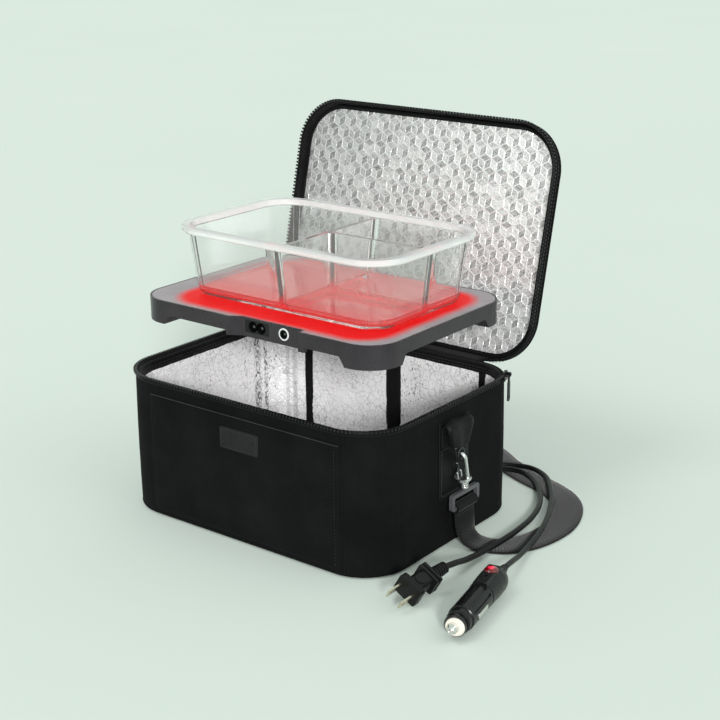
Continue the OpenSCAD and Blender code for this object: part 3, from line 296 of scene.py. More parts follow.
FABRIC = cloth("fabric_black", (0.0034, 0.0034, 0.0036), (0.0084, 0.0084, 0.0089))
PANEL = cloth("fabric_panel", (0.0036, 0.0036, 0.0038), (0.0088, 0.0088, 0.0093), 1.1)
BINDING = cloth("fabric_binding", (0.0030, 0.0030, 0.0033), (0.0090, 0.0090, 0.0096), 0.7, 0.55, 0.05)
TAPE = cloth("fabric_tape", (0.0060, 0.0060, 0.0063), (0.0160, 0.0160, 0.0167), 0.6, 0.65, 0.06)
WEBBING = webbing("webbing_black", (0.0022, 0.0022, 0.0024), (0.0070, 0.0070, 0.0075), 1.5, 0.02,
                  0.52, 0.16)
STRAP = webbing("webbing_strap", (0.005, 0.005, 0.0053), (0.015, 0.015, 0.0157), 1.5, 1.0, hanging=0.12)
BAND = webbing("webbing_inside", (0.003, 0.003, 0.0033), (0.008, 0.008, 0.0085), 1.2, 0.02)
THREAD = cloth("thread_black", (0.035, 0.035, 0.037), (0.070, 0.070, 0.073), 0.35, 0.6, 0.08)
PATCH = plastic("patch_blank", (0.006, 0.006, 0.0065), (0.010, 0.010, 0.011), 0.7, 0.8, 0.06,
                specular_ior_level=0.25)
LEAD = plastic("lead_black", (0.004, 0.004, 0.0043), (0.008, 0.008, 0.0085), 0.3, 0.9, 0.02,
               specular_ior_level=0.18)


# The part's sizes

bag_l, bag_d, bag_h, bag_r, edge_r, shell_t = 280, 210, 121, 42, 4, 1.2
floor_z, facing_z, wall_t, facing_in, tape_in, tape_t = 7.2, 113.5, 5.6, 2.4, 1.4, 0.8
teeth_z, lid_teeth_z, tooth_h = 122.2, 124.6, 2
lid_side_z, lid_top_z, lid_foam_z, lid_facing_in = 127.6, 139.6, 134.0, 7.4
seam_y, seam_z, seam_l, lid_open, panel_w = 104.2, 122.4, 190, 103.6, 204
front_half, side_run = bag_l / 2 - bag_r, bag_d - 2 * bag_r
corner_run = bag_r * math.pi / 2
around = 4 * front_half + 2 * side_run + 4 * corner_run
back_middle = around / 2


def on_outline(s, p=0.0):
    """Point and outward direction at s along the bag's outline, from the middle of the front
    toward +X, moved out by p."""
    s = (s + back_middle) % around - back_middle
    mirror = -1 if s < 0 else 1
    s = abs(s)
    if s < front_half:
        x, y, nx, ny = s, -bag_d / 2, 0, -1
    elif s < front_half + corner_run:
        a = (s - front_half) / bag_r
        nx, ny = math.sin(a), -math.cos(a)
        x, y = front_half + bag_r * nx, -bag_d / 2 + bag_r + bag_r * ny
    elif s < front_half + corner_run + side_run:
        x, y, nx, ny = bag_l / 2, -bag_d / 2 + bag_r + s - front_half - corner_run, 1, 0
    elif s < front_half + 2 * corner_run + side_run:
        a = (s - front_half - corner_run - side_run) / bag_r
        nx, ny = math.cos(a), math.sin(a)
        x, y = front_half + bag_r * nx, bag_d / 2 - bag_r + bag_r * ny
    else:
        x, y, nx, ny = back_middle - s, bag_d / 2, 0, 1
    return Vector((mirror * (x + p * nx), y + p * ny)), Vector((mirror * nx, ny))


def opened(v):
    """A point of the shut lid, moved to where it is when the lid is open."""
    a = math.radians(-lid_open)
    y, z = v[1] - seam_y, v[2] - seam_z
    return Vector((v[0], seam_y + y * math.cos(a) - z * math.sin(a),
                   seam_z + y * math.sin(a) + z * math.cos(a)))


def wobble(x, y, z, size, seed=0.0):
    """Smooth noise between about -1 and 1, with features of about the given size."""
    return noise.noise(Vector((x / size + seed, y / size + 3.7 * seed, z / size - seed)))


# Making pieces

def piece(name, verts, faces, material, slot, body, replaces=(), smooth=True, sharp=None, move=None,
          runs=None, materials=None, indices=None):
    """One object of the part, in metres, on its body. An edge that turns by more than sharp degrees
    stays sharp."""
    if move:
        verts = [move(v) for v in verts]
    mesh = bpy.data.meshes.new(name)
    mesh.from_pydata([[c * MM for c in v] for v in verts], [], faces)
    if runs is not None:
        layer = mesh.uv_layers.new(name="run")
        for loop in mesh.loops:
            layer.data[loop.index].uv = [c * MM for c in runs[loop.vertex_index]]
    for m in materials or [material]:
        mesh.materials.append(m)
    if indices:
        mesh.polygons.foreach_set("material_index", indices)
    bm = bmesh.new()
    bm.from_mesh(mesh)
    bmesh.ops.remove_doubles(bm, verts=bm.verts, dist=1e-6)
    bmesh.ops.dissolve_degenerate(bm, edges=bm.edges, dist=1e-7)
    bmesh.ops.recalc_face_normals(bm, faces=bm.faces)
    for f in bm.faces:
        f.smooth = smooth
    if sharp:
        for e in bm.edges:
            if len(e.link_faces) == 2 and e.calc_face_angle(0) > math.radians(sharp):
                e.smooth = False
    bm.to_mesh(mesh)
    bm.free()
    mesh.update()
    made = placed(name, mesh)
    if body:
        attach(made, body)
    if replaces:
        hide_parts(*replaces)
    return made


def grid_faces(rows, columns, wrap_rows=False, wrap_columns=False, first=0):
    faces = []
    for i in range(rows if wrap_rows else rows - 1):
        for j in range(columns if wrap_columns else columns - 1):
            k, m = (i + 1) % rows, (j + 1) % columns
            faces.append([first + i * columns + j, first + k * columns + j,
                          first + k * columns + m, first + i * columns + m])
    return faces


def spread(low, high, count):
    return [low + (high - low) * i / (count - 1) for i in range(count)]


def steps(low, high, size):
    return spread(low, high, max(2, int(abs(high - low) / size) + 1))


def swept(profile, stations, closed_run=False, closed_profile=True, shape=None):
    """A profile of (p, z) points carried round the bag's outline at the given stations."""
    verts = []
    for s in stations:
        for p, z in profile:
            dp, dz = shape(s, p, z) if shape else (0, 0)
            (x, y), _ = on_outline(s, p + dp)
            verts.append(Vector((x, y, z + dz)))
    n = len(profile)
    faces = grid_faces(len(stations), n, closed_run, closed_profile)
    if not closed_run and closed_profile:
        faces.append(list(range(n)))
        faces.append([(len(stations) - 1) * n + k for k in reversed(range(n))])
    return verts, faces


def all_round(size=4.0):
    """Stations all round the bag, closer at the corners."""
    out, s = [], -back_middle
    while s < back_middle - 0.4 * size:
        out.append(s)
        _, direction = on_outline(s)
        corner = min(abs(direction[0]), abs(direction[1])) > 1e-6
        s += size * (0.6 if corner else 1.0)
    return out


def sheet(columns, rows, place):
    """A closed skin over a grid, where place gives the outer and the inner point."""
    pairs = [place(u, v) for u in columns for v in rows]
    m, n = len(columns), len(rows)
    size = m * n
    verts = [outer for outer, _ in pairs] + [inner for _, inner in pairs]
    faces = grid_faces(m, n) + [list(reversed(f)) for f in grid_faces(m, n, first=size)]
    rim = ([(0, j) for j in range(n)] + [(i, n - 1) for i in range(1, m)]
           + [(m - 1, j) for j in range(n - 2, -1, -1)] + [(i, 0) for i in range(m - 2, 0, -1)])
    for a, b in zip(rim, rim[1:] + rim[:1]):
        i, j = a[0] * n + a[1], b[0] * n + b[1]
        faces.append([i, i + size, j + size, j])
    return verts, faces


def joined(meshes):
    """Several meshes, each of points and faces, as one."""
    verts, faces = [], []
    for points, their_faces in meshes:
        faces += [[k + len(verts) for k in f] for f in their_faces]
        verts += points
    return verts, faces


def on_wall(s, p, z):
    """A point beside the bag's outline at a height, and the direction out of it."""
    (x, y), d = on_outline(s, p)
    return Vector((x, y, z)), Vector((d[0], d[1], 0))


def hollow(distance, depth, width):
    """How deep cloth lies at a distance from a line of stitches."""
    return depth * math.exp(-(distance / width) ** 2)


def soft_edge(distance, radius):
    """0 at an edge and 1 from radius on, as a quarter round."""
    if distance >= radius:
        return 1.0
    t = max(distance, 0) / radius
    return math.sqrt(1 - (1 - t) ** 2)


def tube_along(points, radius, sides=10):
    """A round tube through points, with its ends closed. The radius may be a function."""
    last = len(points) - 1
    verts, up = [], None
    for i, v in enumerate(points):
        t = (points[min(i + 1, last)] - points[max(i - 1, 0)]).normalized()
        if up is None:
            up = Vector((0, 0, 1)) if abs(t.z) < 0.9 else Vector((0, 1, 0))
        up = (up - t * up.dot(t)).normalized()
        across = t.cross(up)
        r = radius(i / last) if callable(radius) else radius
        for k in range(sides):
            c = 2 * math.pi * k / sides
            verts.append(v + r * (math.cos(c) * up + math.sin(c) * across))
    faces = grid_faces(last + 1, sides, False, True)
    faces.append(list(range(sides)))
    faces.append([last * sides + k for k in reversed(range(sides))])
    return verts, faces


# Stitches: pitch, length, radius, and how far they stand out
top_stitch, side_stitch = (2.9, 2.5, 0.30, 0.16), (2.9, 2.2, 0.17, 0.08)
patch_stitch, rim_stitch = (2.2, 1.5, 0.17, 0.1), (3.6, 2.4, 0.2, 0.1)
lid_stitch, band_stitch = (3.4, 2.3, 0.24, 0.12), (3.2, 2.2, 0.2, 0.1)
tab_stitch, flap_stitch = (3.2, 2.2, 0.22, 0.12), (3.0, 2.0, 0.2, 0.12)
strap_stitch = (2.8, 2.0, 0.22, 0.12)
# Where along a stitch, and its height there
stitch_shape = ((0, -0.35), (0.12, 0.55), (0.5, 1), (0.88, 0.55), (1, -0.35))


def seam(name, path, body, stitch, closed=False):
    """A row of stitches along points given with the direction out of the fabric."""
    pitch, length, radius, lift = stitch
    if closed:
        path = path + path[:1]
    runs = [0.0]
    for (a, _), (b, _) in zip(path, path[1:]):
        runs.append(runs[-1] + (b - a).length)

    def at(distance):
        distance = min(max(distance, 0), runs[-1])
        k = 0
        while k < len(runs) - 2 and runs[k + 1] < distance:
            k += 1
        t = (distance - runs[k]) / max(runs[k + 1] - runs[k], 1e-9)
        return path[k][0].lerp(path[k + 1][0], t), path[k][1].lerp(path[k + 1][1], t).normalized()

    tubes = []
    count = int(runs[-1] / pitch)
    for i in range(count):
        start = (i + 0.5) * runs[-1] / count - length / 2
        line = []
        for t, high in stitch_shape:
            point, out = at(start + t * length)
            line.append(point + out * (lift * high))
        tubes.append(tube_along(line, lambda t: radius * (0.75 + 0.25 * math.sin(math.pi * t)), 6))
    piece(name, *joined(tubes), THREAD, "black_fabric", body)


def border(w, h, inset, from_corner, size):
    """Points round a rectangle, inset from its edges, that stop before its corners."""
    across, up = w / 2 - inset, h / 2 - inset
    level = steps(from_corner - w / 2, w / 2 - from_corner, size)
    upright = steps(from_corner - h / 2, h / 2 - from_corner, size)
    return ([(u, -up) for u in level] + [(across, v) for v in upright]
            + [(u, up) for u in reversed(level)] + [(-across, v) for v in reversed(upright)])


# The two leads

def smooth(points, n):
    """The same curve through the points as the part's source draws."""
    out = []
    for i in range(len(points) - 1):
        a, b, c, d = (points[min(max(j, 0), len(points) - 1)] for j in (i - 1, i, i + 1, i + 2))
        for k in range(n):
            t = k / n
            out.append(0.5 * (2 * b + (c - a) * t + (2 * a - 5 * b + 4 * c - d) * t * t
                              + (3 * b - a - 3 * c + d) * t ** 3))
    return out + [points[-1]]


turn_gap, coil_ratio, tie_t = 0.6, 11, 0.8


def coil_points(c, d, turns, n=40):
    """A flat coil of so many turns inward and as many out again on top, with its two ends."""
    step = d + turn_gap
    outer, inner = coil_ratio * d / 2 + step * turns / 2, coil_ratio * d / 2 - step * turns / 2
    low = tie_t + 0.3 + d / 2

    def at(s):
        if s < turns:
            r = outer - step * s
        elif s < turns + 0.5:
            r = inner - step * (s - turns) * (1 - 2 * (s - turns))
        else:
            r = inner + step * (s - turns - 0.5)
        t = min(max((s - turns) * 2, 0), 1)
        a = math.radians(-90 - 360 * s)
        return Vector((c[0] + r * math.cos(a), c[1] + r * math.sin(a), low + step * t * t * (3 - 2 * t)))

    start = Vector((c[0] + d, c[1] - outer, low))
    end = Vector((c[0] + d, c[1] + outer, low + step))
    return start, [at(i / n) for i in range(int(n * (2 * turns + 0.5)) + 1)], end


def lead(name, plug_at, route, coil_c, d, turns, nodes):
    """A lead from its plug along its route and into its coil, as one cord."""
    start, turns_line, end = coil_points(coil_c, d, turns)
    line = smooth([Vector(v) for v in [plug_at] + route] + [start], 8) + turns_line + [end]
    curve = bpy.data.curves.new(name, "CURVE")
    curve.dimensions = "3D"
    curve.bevel_depth = d / 2 * MM
    curve.bevel_resolution = 5
    curve.use_fill_caps = True
    spline = curve.splines.new("POLY")
    spline.points.add(len(line) - 1)
    for point, v in zip(spline.points, line):
        point.co = (*(v * MM), 1)
    spline.use_smooth = True
    curve.materials.append(LEAD)
    made = placed(name, curve)
    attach(made, "bag")
    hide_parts(*nodes)
    length = sum((b - a).length for a, b in zip(line, line[1:])) * MM


ac_route = [(174.7, -46, 9.6), (174.7, -30, 6.4), (175.5, -8, 4.9), (176.5, 18, 4.8), (176, 42, 4.8),
            (173, 68, 4.8), (165, 95, 4.8), (151, 120, 4.8), (132, 141, 4.8), (110, 152, 4.8),
            (89, 145, 4.7), (70, 130, 4.4), (46, 118, 4), (20, 113, 3.6), (-30, 113, 3.6)]
car_route = [(209.2, -18, 9.6), (205, 0, 6.6), (200.5, 19, 4.9), (196, 39, 4.6), (185, 74, 4.6),
             (169, 109, 4.6), (155, 132, 4.6), (136, 155, 4.6), (114, 165, 4.6), (93, 159, 4.6),
             (75, 146, 4.4), (56, 131, 3.8), (34, 121, 3.4)]
lead("mains_lead", (174.7, -60.8, 12), ac_route, (-80, 146), 5, 2, ["ac_cord", "ac_coil"])
lead("car_lead", (212.5, -33.5, 11.8), car_route, (0, 150), 4.5, 2.5, ["car_cord", "car_coil"])


# The bag's fabric

def arc(cx, cz, r, a0, a1, n):
    """Points of a circle from one angle to another, in degrees."""
    return [(cx + r * math.cos(math.radians(a)), cz + r * math.sin(math.radians(a)))
            for a in spread(a0, a1, n)]


def side_of(s):
    """1 on the two end walls, 0 on front and back, and between on the corners."""
    _, direction = on_outline(s)
    return abs(direction[0])


def fullness(s, z):
    """How far the stuffed wall stands out, in millimetres."""
    rise = math.sin(math.pi * min(max(z / bag_h, 0), 1)) ** 0.8
    (x, y), _ = on_outline(s)
    flat = 0.2 if side_of(s) > 0.99 else 1.0
    ripple = 0.5 + 0.5 * wobble(x, y, z, 46) + 0.22 * wobble(x, y, z, 17, 2.0)
    return max(0.0, rise * flat * (0.2 + 0.6 * ripple)) - 0.5


def make_body():
    top_r, hem_r = shell_t / 2, 0.95
    outside = arc(-top_r, bag_h - top_r, top_r, 90, 0, 4)
    outside += [(0, z) for z in steps(bag_h - shell_t, edge_r + 2, 5)]
    outside += arc(-edge_r, edge_r, edge_r, 0, -90, 7)
    inside = arc(-edge_r, edge_r, edge_r - shell_t, -90, 0, 5)
    inside += [(-shell_t, z) for z in (20, 60, 100, bag_h - top_r)]
    profile = inside + outside

    def shape(s, p, z):
        return (fullness(s, z), 0) if p > -0.01 else (0, 0)

    stations = all_round(4)
    verts, faces = swept(profile, stations, True, False, shape)
    n = len(profile)
    for k in (0, n - 1):
        faces.append([i * n + k for i in range(len(stations))])
    piece("body_fabric", verts, faces, FABRIC, "black_fabric", "bag", ["outer_shell"], sharp=60)
    # The rolled hem along the top of the wall
    hem = arc(-0.9, bag_h - top_r, hem_r, 0, 342, 12)
    verts, faces = swept(hem, stations, True, True,
                         lambda s, p, z: (0.12 * wobble(s, 0, 0, 9, 5), 0.12 * wobble(s, 4, 0, 12, 7)))
    piece("body_hem", verts, faces, BINDING, "black_fabric", "bag")


def make_panel():
    """The stitched panel on the front, from the left corner to where the photograph shows its seam."""
    left, right, low, high = -front_half, panel_w - front_half, 5.5, 112

    def place(s, z):
        edge = min(s - left, right - s, z - low, high - z)
        puff = 0.95 * soft_edge(edge, 1.6) + 0.35 * min(edge / 30, 1) - hollow(edge - 4, 0.28, 1.1)
        level = fullness(s, z)
        return on_wall(s, level + 0.22 + puff, z)[0], on_wall(s, level + 0.12, z)[0]

    verts, faces = sheet(steps(left, right, 3), steps(low, high, 3), place)
    piece("front_panel_cloth", verts, faces, PANEL, "black_fabric", "bag", ["front_panel"])

    def stitched(s, z):
        return on_wall(s, fullness(s, z) + 0.98, z)

    path = [stitched(s, high - 1.4) for s in steps(left + 1, right - 1, 2)]
    seam("front_panel_stitches_top", path, "bag", top_stitch)
    for s, word in ((left + 5, "left"), (right - 5, "right")):
        path = [stitched(s, z) for z in steps(9, high - 5, 2)]
        seam("front_panel_stitches_" + word, path, "bag", side_stitch)


def make_patch():
    """The blank patch, with round corners and a stitched border."""
    x0, z0, w, h, r, sewn = 3, 91, 42, 19, 2, 1.9
    base = on_outline(x0, fullness(x0, z0) + 1.28)[0][1]

    def place(u, v):
        du, dv = abs(u) - w / 2 + r, abs(v) - h / 2 + r
        corner = math.hypot(max(du, 0), max(dv, 0))
        edge = min(w / 2 - abs(u), h / 2 - abs(v), r - corner if corner > 0 else 9)
        up = 0.95 * soft_edge(edge, 0.9) - hollow(edge - sewn, 0.25, 0.45)
        if corner > r:
            u = math.copysign(w / 2 - r + du * r / corner, u)
            v = math.copysign(h / 2 - r + dv * r / corner, v)
        return Vector((x0 + u, base - up, z0 + v)), Vector((x0 + u, base + 0.25, z0 + v))

    verts, faces = sheet(spread(-w / 2, w / 2, 45), spread(-h / 2, h / 2, 25), place)
    piece("patch_blank", verts, faces, PATCH, "patch", "bag", ["label_patch"])
    loop = [(Vector((x0 + u, base - 0.68, z0 + v)), Vector((0, -1, 0)))
            for u, v in border(w, h, sewn, 2.4, 1)]
    seam("patch_stitches", loop, "bag", patch_stitch, closed=True)


def make_rim():
    """The black facing inside, folded over the top of the wall."""
    inner, outer = -wall_t, -facing_in - 0.05
    fold = [(inner + 0.8, facing_z - 1.5), (inner - 0.1, facing_z - 1.3), (inner - 0.35, facing_z),
            (inner - 0.45, facing_z + 4), (inner - 0.4, facing_z + 8)]
    fold += arc(inner + 1.2, bag_h - 1.3, 1.5, 172, 90, 5)
    fold += [(inner + 2.2, bag_h + 0.15), (outer, bag_h - 0.05), (outer, bag_h - 0.8),
             (inner + 1.6, bag_h - 0.85), (inner + 0.8, bag_h - 2.2)]

    def ruffle(s, z):
        return 0.25 * wobble(s, z, 0, 14, 4)

    def shape(s, p, z):
        out = ruffle(s, z) if p < inner + 0.4 else 0
        return out, 0.15 * wobble(s, 9, 0, 22, 6) if z > bag_h - 1 else 0

    verts, faces = swept(fold, all_round(3.5), True, True, shape)
    piece("rim_binding", verts, faces, BINDING, "black_fabric", "bag", ["rim_facing"])
    for z, name in ((facing_z + 1.6, "rim_stitches_low"), (bag_h - 3.4, "rim_stitches_high")):
        path = []
        for s in all_round(3):
            point, out = on_wall(s, inner - 0.42 + ruffle(s, z), z)
            path.append((point, -out))
        seam(name, path, "bag", rim_stitch, closed=True)


def tape(name, z_root, z_edge, angle, body, node, move=None):
    """Zipper tape with a thicker woven edge under its teeth, up to an angle round the back corners."""
    reach = front_half + corner_run + side_run + math.radians(angle) * bag_r
    up = 1 if z_edge > z_root else -1
    mid, half, cord = -tape_in - tape_t / 2, tape_t / 2 - 0.05, 0.22
    profile = [(mid - half, z_root), (mid + half, z_root), (mid + half, z_edge - up * 2.8),
               (mid + half + cord, z_edge - up * 2.2), (mid + half + cord, z_edge - up * 1.4),
               (mid + half, z_edge - up * 0.9), (mid + half, z_edge), (mid - half, z_edge),
               (mid - half, z_edge - up * 2)]
    verts, faces = swept(profile, steps(-reach, reach, 3), False, True)
    piece(name, verts, faces, TAPE, "black_fabric", body, [node], move=move, sharp=50)


def crinkle(x, y, z):
    """The foil's relief, from small creases on large folds."""
    small = abs(wobble(x, y, z, 6.5, 1.3)) + 0.6 * abs(wobble(x, y, z, 3.1, 2.9))
    large = abs(wobble(x, y, 0.45 * z, 30, 8.1))
    return 0.9 * (0.55 - small) + 1.1 * (0.5 - large)


def make_lining():
    """Crinkled foil: the wall, a rounded foot and the floor, one closed skin with its hidden side."""
    stations = all_round(2.8)
    wall = [(-wall_t, z) for z in steps(facing_z + 0.4, floor_z + 3, 2.6)]
    foot = arc(-wall_t - 1.4, floor_z + 1.1, 1.4, 0, -90, 4)
    floor_rings, skin_t, floor_t = 22, 0.45, 0.25
    seen, hidden = [], []
    for k, (p, z) in enumerate(wall + foot[1:]):
        flat = k < len(wall)
        low = 0 if flat else skin_t * (k - len(wall) + 1) / len(foot)
        ends = min(1.0, max(0.0, (facing_z - z) / 6), max(0.0, (z - floor_z) / 14))
        for s in stations:
            (x, y), d = on_outline(s, p)
            deep = min(max((0.55 + crinkle(x, y, z)) * ends, 0.0), 1.8)
            deep += hollow(z - floor_z - 30, 0.9, 8) * abs(wobble(s, 0, 0, 11, 6))
            seen.append(Vector((x - d[0] * deep, y - d[1] * deep, z)))
            hidden.append(on_wall(s, p + skin_t if flat else p, z - low)[0])
    n = len(stations)
    outermost = seen[-n:]
    for k in range(1, floor_rings):
        t = 1 - k / floor_rings
        for v in outermost:
            x, y = v.x * t, v.y * t
            z = floor_z - 0.30 + 0.45 * max(crinkle(x, y, 3), 0)
            seen.append(Vector((x, y, z)))
            hidden.append(Vector((x, y, z - floor_t)))
    size = len(seen)
    faces = grid_faces(size // n, n, False, True) + [list(range(size - n, size))]
    faces += [[k + size for k in reversed(f)] for f in faces]
    faces += [[k, size + k, size + (k + 1) % n, (k + 1) % n] for k in range(n)]
    piece("lining_foil", seen + hidden, faces, lining_film(), "foil", "bag", ["foil_lining"])


def inner_band(middle, w):
    """An upright band of webbing on the lining of the back wall."""
    def place(x, z):
        s = math.copysign(back_middle - abs(x), x)
        point, out = on_wall(s, -wall_t - 0.5, z)
        swell = 0.35 + 0.75 * soft_edge(w / 2 - abs(x - middle), 1.0)
        swell += 0.5 * (0.5 + wobble(middle, 0, z, 16, 3))
        return point - out * swell, point + out * 0.1

    heights = steps(floor_z + 0.6, facing_z + 0.5, 3)
    return sheet(spread(middle - w / 2, middle + w / 2, 9), heights, place)


def make_inner_bands():
    verts, faces = joined([inner_band(middle, w) for middle, w in ((-95, 9.5), (5.5, 16.5), (103, 9))])
    piece("inner_bands", verts, faces, BAND, "webbing", "bag", ["inner_straps"],
          runs=[(v.x, v.z) for v in verts])


# The lid's fabric

def from_edge(x, y):
    """How far a point of the lid's top is inside the bag's outline."""
    qx, qy = abs(x) - bag_l / 2 + bag_r, abs(y) - bag_d / 2 + bag_r
    return bag_r - math.hypot(max(qx, 0), max(qy, 0)) - min(max(qx, qy), 0)


def turned_open(point, out):
    """A stitch's point and direction on the shut lid, moved to the open lid."""
    return opened(point), opened(point + out) - opened(point)


def make_lid():
    stations = all_round(4)
    outside = [(0, lid_side_z + z) for z in (0.3, 3, 6)] + [(0, lid_top_z - edge_r)]
    outside += arc(-edge_r, lid_top_z - edge_r, edge_r, 0, 90, 7)[1:]
    inside = [(-shell_t, lid_side_z + 0.3), (-shell_t, lid_side_z + 4), (-shell_t, lid_top_z - edge_r)]
    inside += arc(-edge_r, lid_top_z - edge_r, edge_r - shell_t, 0, 90, 5)[1:]
    profile = list(reversed(inside)) + outside

    def ripple(s, p, z):
        return (0.25 * wobble(s, z, 0, 24, 9) - 0.6, 0) if p > -0.01 else (0, 0)

    verts, faces = swept(profile, stations, True, False, ripple)
    n, m, top_rings = len(profile), len(stations), 37
    index = [[k * n + n - 1 for k in range(m)]]
    last = [verts[k] for k in index[0]]
    # The top, crowned by the foam under it, with a stitched border
    for r in range(1, top_rings):
        t = 1 - r / top_rings
        index.append([len(verts) + k for k in range(m)])
        for v in last:
            x, y = v.x * t, v.y * t
            edge = from_edge(x, y)
            crown = 1.3 - 0.6 * ((x / bag_l) ** 2 + (y / bag_d) ** 2) + 0.5 * wobble(x, y, 0, 60, 3)
            rise = max(crown, 0.2) * soft_edge(edge - edge_r, 12) - hollow(edge - 9, 0.5, 1.8)
            verts.append(Vector((x, y, v.z + rise)))
    for a, b in zip(index, index[1:]):
        faces += [[a[k], a[(k + 1) % m], b[(k + 1) % m], b[k]] for k in range(m)]
    faces += [index[-1], [k * n for k in range(m)]]
    piece("lid_fabric", verts, faces, FABRIC, "black_fabric", "lid", ["lid_cover"], sharp=60, move=opened)
    verts, faces = swept(arc(-1.1, lid_side_z + 0.5, 0.95, 0, 342, 12), stations, True, True)
    piece("lid_hem", verts, faces, BINDING, "black_fabric", "lid", move=opened)
    path = [turned_open(*on_wall(s, 0.3, lid_side_z + 3.4)) for s in all_round(2.5)]
    seam("lid_side_stitches", path, "lid", lid_stitch, closed=True)


def make_lid_binding():
    """The black band round the lid's foil."""
    low = lid_foam_z - tape_t
    a, b = -facing_in, -lid_facing_in
    profile = [(a + 0.1, lid_foam_z + 0.1), (a + 0.1, low + 0.5), (a - 0.5, low - 0.3),
               (a - 1.5, low - 0.75), ((a + b) / 2, low - 0.9), (b + 1.5, low - 0.75),
               (b + 0.5, low - 0.35), (b, low + 0.25), (b + 0.2, lid_foam_z)]
    verts, faces = swept(profile, all_round(3.5), True, True,
                         lambda s, p, z: (0, 0.18 * wobble(s, p, 0, 15, 2) if z < low + 0.2 else 0))
    piece("lid_binding", verts, faces, BINDING, "black_fabric", "lid", ["lid_facing"], move=opened)
    path = [turned_open(on_wall(s, 1.7 - lid_facing_in, low - 0.52)[0], Vector((0, 0, -1)))
            for s in all_round(2.5)]
    seam("lid_binding_stitches", path, "lid", band_stitch, closed=True)


def inside_outline(x, y, p):
    """The nearest point to (x, y) inside the bag's outline moved by p."""
    l, d, r = bag_l / 2 + p, bag_d / 2 + p, bag_r + p
    x, y = min(max(x, -l), l), min(max(y, -d), d)
    cx, cy = math.copysign(max(l - r, 0), x), math.copysign(max(d - r, 0), y)
    if abs(x) > abs(cx) and abs(y) > abs(cy):
        v = Vector((x - cx, y - cy))
        if v.length > r:
            v = v.normalized() * r
            return cx + v.x, cy + v.y
    return x, y


def foil_shade(name, low, high, seed):
    """One tone of the lid's foil, with painted shade that darkens it toward the lid's left side."""
    f = Finish(name, high, 0.3, 0.55, specular_ior_level=0.8)
    shift = (1 + 0.13 * seed, 1 - 0.07 * seed, 1 + 0.05 * seed)
    grain = f.math("ADD", f.math("MULTIPLY", f.noise(4.2, 5, 0.75, shift), 0.85),
                   f.math("MULTIPLY", f.cells(2.0, "F1", shift, 2.0), 0.35))
    # Painted shade: the foil is made darker toward the lid's left side
    painted_shade_leftward = f.ramp(f.axis(0), -110 * MM, 100 * MM, 0.62, 1.0)
    f.color(f.mix(1.0, f.ramp(grain, 0.36, 0.68, low, high), painted_shade_leftward, "MULTIPLY"))
    f.rough(f.ramp(f.noise(2.4, 4, 0.7, shift), 0.3, 0.7, 0.2, 0.5))
    f.bump(f.cells(2.4, "F1", shift, 2.0), 0.5, 0.6)
    f.bump(f.noise(1.1, 4, 0.7), 0.2, 0.5)
    return f.mat


def make_lid_foil():
    """Foil embossed with a lattice of rhombs in three directions, each with its own slope and mostly its
    own painted tone of light or shade, with a painted highlight on the ridges.
    """
    side, sunk, ridge, least_area = 7.4, 0.42, 0.15, 0.02
    wide, high = side * math.sqrt(3), side * 1.5
    level, reach = lid_foam_z - 0.6, 0.8 - lid_facing_in
    # Painted light and shade of the embossing: a lit, a half shaded and a shaded tone of one foil for the
    # three directions of rhombs, and a painted highlight for the ridges
    painted_shades = [foil_shade("foil_painted_lit", (0.60, 0.575, 0.59), (1.0, 0.965, 0.98), 1),
              foil_shade("foil_painted_half_shade", (0.34, 0.33, 0.34), (0.84, 0.81, 0.825), 2),
              foil_shade("foil_painted_shade", (0.17, 0.165, 0.17), (0.62, 0.60, 0.61), 3),
              foil_shade("foil_painted_ridge_highlight", (0.84, 0.82, 0.83), (1.0, 0.97, 0.98), 4)]
    ways = [Vector((math.cos(math.radians(a)), math.sin(math.radians(a)))) for a in (90, 210, 330)]
    slopes = [(0.0, 0.16), (0.06, 0.06), (0.16, 0.0)]
    verts, faces, indices = [], [], []

    def add(point, rise):
        x, y = inside_outline(point.x, point.y, reach)
        verts.append(Vector((x, y, level - sunk + rise)))

    def rhomb(centre, k):
        a, b = ways[k], ways[(k + 1) % 3]
        corners = [centre, centre + a * side, centre + (a + b) * side, centre + b * side]
        middle = (corners[0] + corners[2]) / 2
        luck = wobble(middle.x, middle.y, 0, 5.3, 7 + k)
        # Painted shade: each direction mostly takes its own lit or shaded tone
        tone = k if luck > -0.25 else (k + 1) % 3
        base = len(verts)
        for c in corners:
            add(c, 0)
        for i, c in enumerate(corners):
            add(c.lerp(middle, ridge), 0.05 + slopes[k][i // 2] + 0.1 * luck)
        add(middle, 0.06 + sum(slopes[k]) / 2 + 0.22 * luck)
        for i in range(4):
            j = (i + 1) % 4
            faces.append([base + i, base + j, base + 4 + j, base + 4 + i])
            faces.append([base + 4 + i, base + 4 + j, base + 8])
            indices.extend((3, tone))

    for row in range(-9, 10):
        for column in range(-12, 13):
            centre = Vector(((column + 0.5 * (row % 2)) * wide, row * high))
            if abs(centre.x) <= 152 and abs(centre.y) <= 116:
                for k in range(3):
                    rhomb(centre, k)
    # What the outline has pressed flat is dropped
    kept = []
    for f, index in zip(faces, indices):
        v = [verts[i] for i in f]
        area = sum((v[i] - v[0]).cross(v[i + 1] - v[0]).length for i in range(1, len(v) - 1)) / 2
        if area > least_area:
            kept.append((f, index))
    piece("lid_foil", verts, [f for f, _ in kept], None, "foil", "lid", ["lid_lining"], smooth=False,
          move=opened, materials=painted_shades, indices=[index for _, index in kept])


